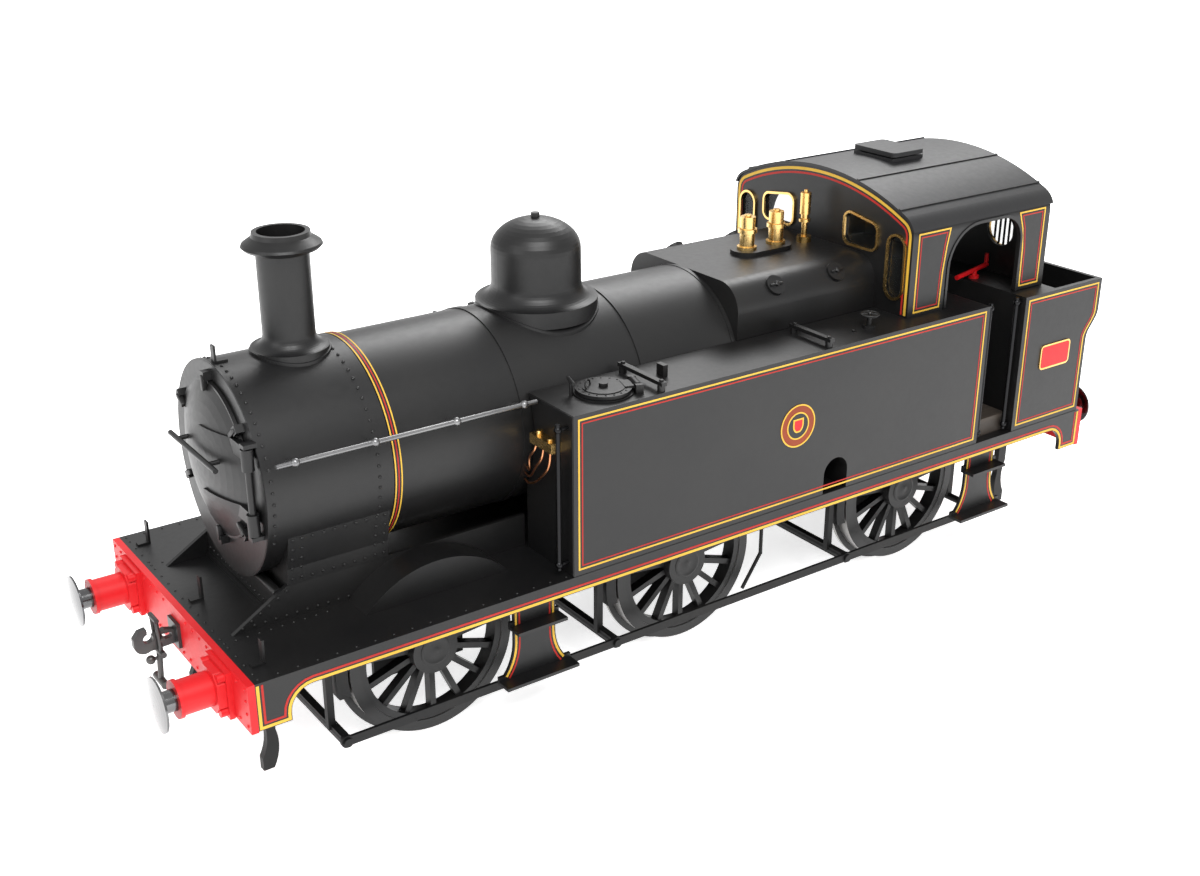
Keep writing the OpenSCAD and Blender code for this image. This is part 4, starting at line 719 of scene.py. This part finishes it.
# %% Filler lid rivets and handle
FILLER = (27.7, 24.1)
LID_TOP = TANK_TOP + 1.0
lid_rivet = turned([(0.2, -0.02), (0.18, 0.08), (0.09, 0.14)], sides=8)
for side, body in ((1, "left_filler_lid"), (-1, "right_filler_lid")):
    places = [((FILLER[0] + 4.3 * math.cos(a), side * (FILLER[1] + 4.3 * math.sin(a)), LID_TOP), (0, 0, 1))
              for a in (2 * math.pi * i / 18 for i in range(18))]
    keep(f"{body}_rivets", scatter(lid_rivet, places), black_enamel, body=body)
    handle = pipe("handle", [(FILLER[0] + 1.4, side * (FILLER[1] - 1.9), LID_TOP + 0.1),
                             (FILLER[0] + 1.6, side * (FILLER[1] - 2.0), LID_TOP + 0.9),
                             (FILLER[0] + 3.4, side * (FILLER[1] - 0.6), LID_TOP + 0.9),
                             (FILLER[0] + 3.3, side * (FILLER[1] - 0.4), LID_TOP + 0.05)], 0.16)
    keep(f"{body}_handle", [handle], black_enamel, body=body)
drop(lid_rivet)

# %% Handwheel and bolt heads
WHEEL_AT = Vector((-34.4, 25.7, TANK_TOP + 2.75))
bpy.ops.object.select_all(action="DESELECT")
bpy.ops.mesh.primitive_torus_add(major_radius=1.75 * MM, minor_radius=0.2 * MM, major_segments=32,
                                 minor_segments=10, location=WHEEL_AT * MM)
rim = bpy.context.active_object
spokes = []
for i in range(4):
    a = math.radians(45 + 90 * i)
    tip = WHEEL_AT + Vector((1.7 * math.cos(a), 1.7 * math.sin(a), 0))
    middle = (WHEEL_AT + tip) / 2 + Vector((0, 0, 0.06))
    spokes.append(pipe("spoke", [tuple(WHEEL_AT), tuple(middle), tuple(tip)], 0.14))
hub = turned([(0.45, 0), (0.5, 0.25), (0.3, 0.5)], sides=12, at=tuple(WHEEL_AT))
keep("tank_handwheels", both_sides([rim, hub] + spokes), black_enamel)
hex_head = turned([(0.42, -0.02), (0.42, 0.28), (0.28, 0.36)], sides=6)
heads = []
for x, y_in in ((19.2, 17.3), (-20.3, 18.9)):
    for y in (y_in + 0.9, TANK_SIDE - 1.0):
        heads.append(((x, y, TANK_TOP + 1.8), (0, 0, 1)))
heads += [((-30.4, 25.7, TANK_TOP), (0, 0, 1))]
keep("tank_bolt_heads", scatter(hex_head, mirrored(heads)), black_enamel)
drop(hex_head)

# %% [markdown]
# Washout plugs sit on the shoulders of the firebox, each with a small clamp across it.

# %% Washout clamps and chimney bolts
clamps = []
SHOULDER_CURVE, FIREBOX_TOP, PLUG_SEAT = 5.4, 70.4, 5.65
SHOULDER = (fire_high[1] - SHOULDER_CURVE, FIREBOX_TOP - SHOULDER_CURVE)
for x in (-18.7, -34.4):
    a = math.radians(48)
    out = Vector((0, math.sin(a), math.cos(a)))
    at = Vector((x, SHOULDER[0], SHOULDER[1])) + out * PLUG_SEAT
    clamps.append(turned([(1.5, 0), (1.5, 0.1), (0.8, 0.25), (0.5, 0.3), (0.5, 0.8), (0.25, 0.95)], sides=20,
                         at=tuple(at), normal=tuple(out)))
    bar = at + out * 0.45
    half_bar = Vector((1.5, 0, 0))
    clamps.append(pipe("clamp", [tuple(bar - half_bar), tuple(bar + out * 0.12),
                                 tuple(bar + half_bar)], 0.22))
keep("washout_clamps", both_sides(clamps), black_enamel)
chimney_low, chimney_high = edges("chimney")
CHIMNEY_X = (chimney_low[0] + chimney_high[0]) / 2
foot_bolt = turned([(0.3, -0.05), (0.3, 0.2), (0.18, 0.3)], sides=6)
foot_places = []
for turn in (45, 135, 225, 315):
    a = math.radians(turn)
    y = 6.1 * math.sin(a)
    z = BOILER_Z + math.sqrt((SMOKE_R + 0.3) ** 2 - y * y)
    foot_places.append(((CHIMNEY_X + 6.1 * math.cos(a), y, z), (0, y, z - BOILER_Z)))
keep("chimney_foot_bolts", scatter(foot_bolt, foot_places), black_enamel)
drop(foot_bolt)

# %% [markdown]
# Inside the cab the backhead shows through the openings. It is given two gauges with pale
# dials and two columns of brass cocks; their number and places are guesses.

# %% Backhead fittings
FITTING_SEAT = 1.45
FACE_X = edges("backhead")[0][0] + FITTING_SEAT
gauge = turned([(1.7, 0), (1.7, 0.5), (1.45, 0.65), (1.35, 0.55)], sides=28)
dial = turned([(1.35, 0), (1.35, 0.58), (1.2, 0.6)], sides=28)
cock = turned([(0.5, 0), (0.55, 0.4), (0.3, 0.5), (0.3, 1.2), (0.6, 1.35), (0.4, 1.6)], sides=12)
gauges = [((FACE_X, 3.2, 64.0), (-1, 0, 0)), ((FACE_X, -3.2, 64.0), (-1, 0, 0))]
keep("backhead_gauges", scatter(gauge, gauges), brass)
keep("backhead_dials", scatter(dial, gauges), cream_paint)
cocks = [((FACE_X, y, z), (-1, 0, 0)) for y in (-9, 9) for z in (49, 54, 60)]
keep("backhead_cocks", scatter(cock, cocks), brass)
drop(gauge, dial, cock)
NODES["cab_floor"].data.materials.clear()
NODES["cab_floor"].data.materials.append(wood_floor)

# %% [markdown]
# The tank fronts are given a beaded edge and the barrel a band where it meets the firebox.
# Both are thin, and both are guesses.

# %% Tank front edges and the band at the firebox
tank_bead = line([(TANK_SIDE - 0.35, PLATE_TOP + 0.2), (TANK_SIDE - 0.35, TANK_TOP - 0.35),
                  (18.4, TANK_TOP - 0.35)], "front", tank_high[0], 0.5, thick=0.16)
keep("tank_front_beads", both_sides(tank_bead), black_enamel, smooth=False)
keep("firebox_front_band", [hoop(boiler_low[0] + 0.5, 0.9, BOILER_R, 0.12)], black_enamel)

# %% Camera, light and floor
eye = Vector((167.238, 219.043, 153.076)) * MM
YAW, PITCH, ROLL = math.radians(-125.461), math.radians(-22.999), math.radians(0.07)
look = Vector((math.cos(PITCH) * math.cos(YAW), math.cos(PITCH) * math.sin(YAW), math.sin(PITCH)))
camera_data = bpy.data.cameras.new("camera")
camera_data.sensor_width = 36
camera_data.lens = 44.754
camera_data.clip_start = 0.005
camera = bpy.data.objects.new("camera", camera_data)
bpy.context.collection.objects.link(camera)
camera.matrix_world = (Matrix.Translation(eye) @ look.to_track_quat("-Z", "Y").to_matrix().to_4x4()
                       @ Matrix.Rotation(ROLL, 4, "Z"))
bpy.context.scene.camera = camera

floor = start("plane", size=6, location=(0, 0, 0))
floor.name = "floor"
floor_finish = finish_of("pale_floor", (0.92, 0.92, 0.92), (0.95, 0.95, 0.95), 0.7, shine=0.2)
floor_finish.node_tree.nodes["Principled BSDF"].inputs["Emission Color"].default_value = (1, 1, 1, 1)
floor_finish.node_tree.nodes["Principled BSDF"].inputs["Emission Strength"].default_value = 0.7
floor.data.materials.append(floor_finish)

bpy.context.scene.view_settings.view_transform = "Standard"
world = bpy.data.worlds.new("studio")
bpy.context.scene.world = world
world.use_nodes = True
world.node_tree.nodes["Background"].inputs["Color"].default_value = (1, 1, 1, 1)
world.node_tree.nodes["Background"].inputs["Strength"].default_value = 0.85

def soft_box(name, at, aim, size, power):
    light_data = bpy.data.lights.new(name, "AREA")
    light_data.shape = "RECTANGLE"
    light_data.size, light_data.size_y = size
    light_data.energy = power
    lamp = bpy.data.objects.new(name, light_data)
    bpy.context.collection.objects.link(lamp)
    lamp.matrix_world = (Matrix.Translation(Vector(at))
                         @ (Vector(aim) - Vector(at)).to_track_quat("-Z", "Y").to_matrix().to_4x4())

soft_box("key_light", (0.25, 0.55, 0.75), (0, 0, 0.04), (0.6, 0.4), 9)
soft_box("front_light", (0.8, 0.1, 0.35), (0, 0, 0.05), (0.4, 0.4), 1.5)
soft_box("back_light", (-0.5, -0.5, 0.7), (0, 0, 0.05), (0.6, 0.4), 6)
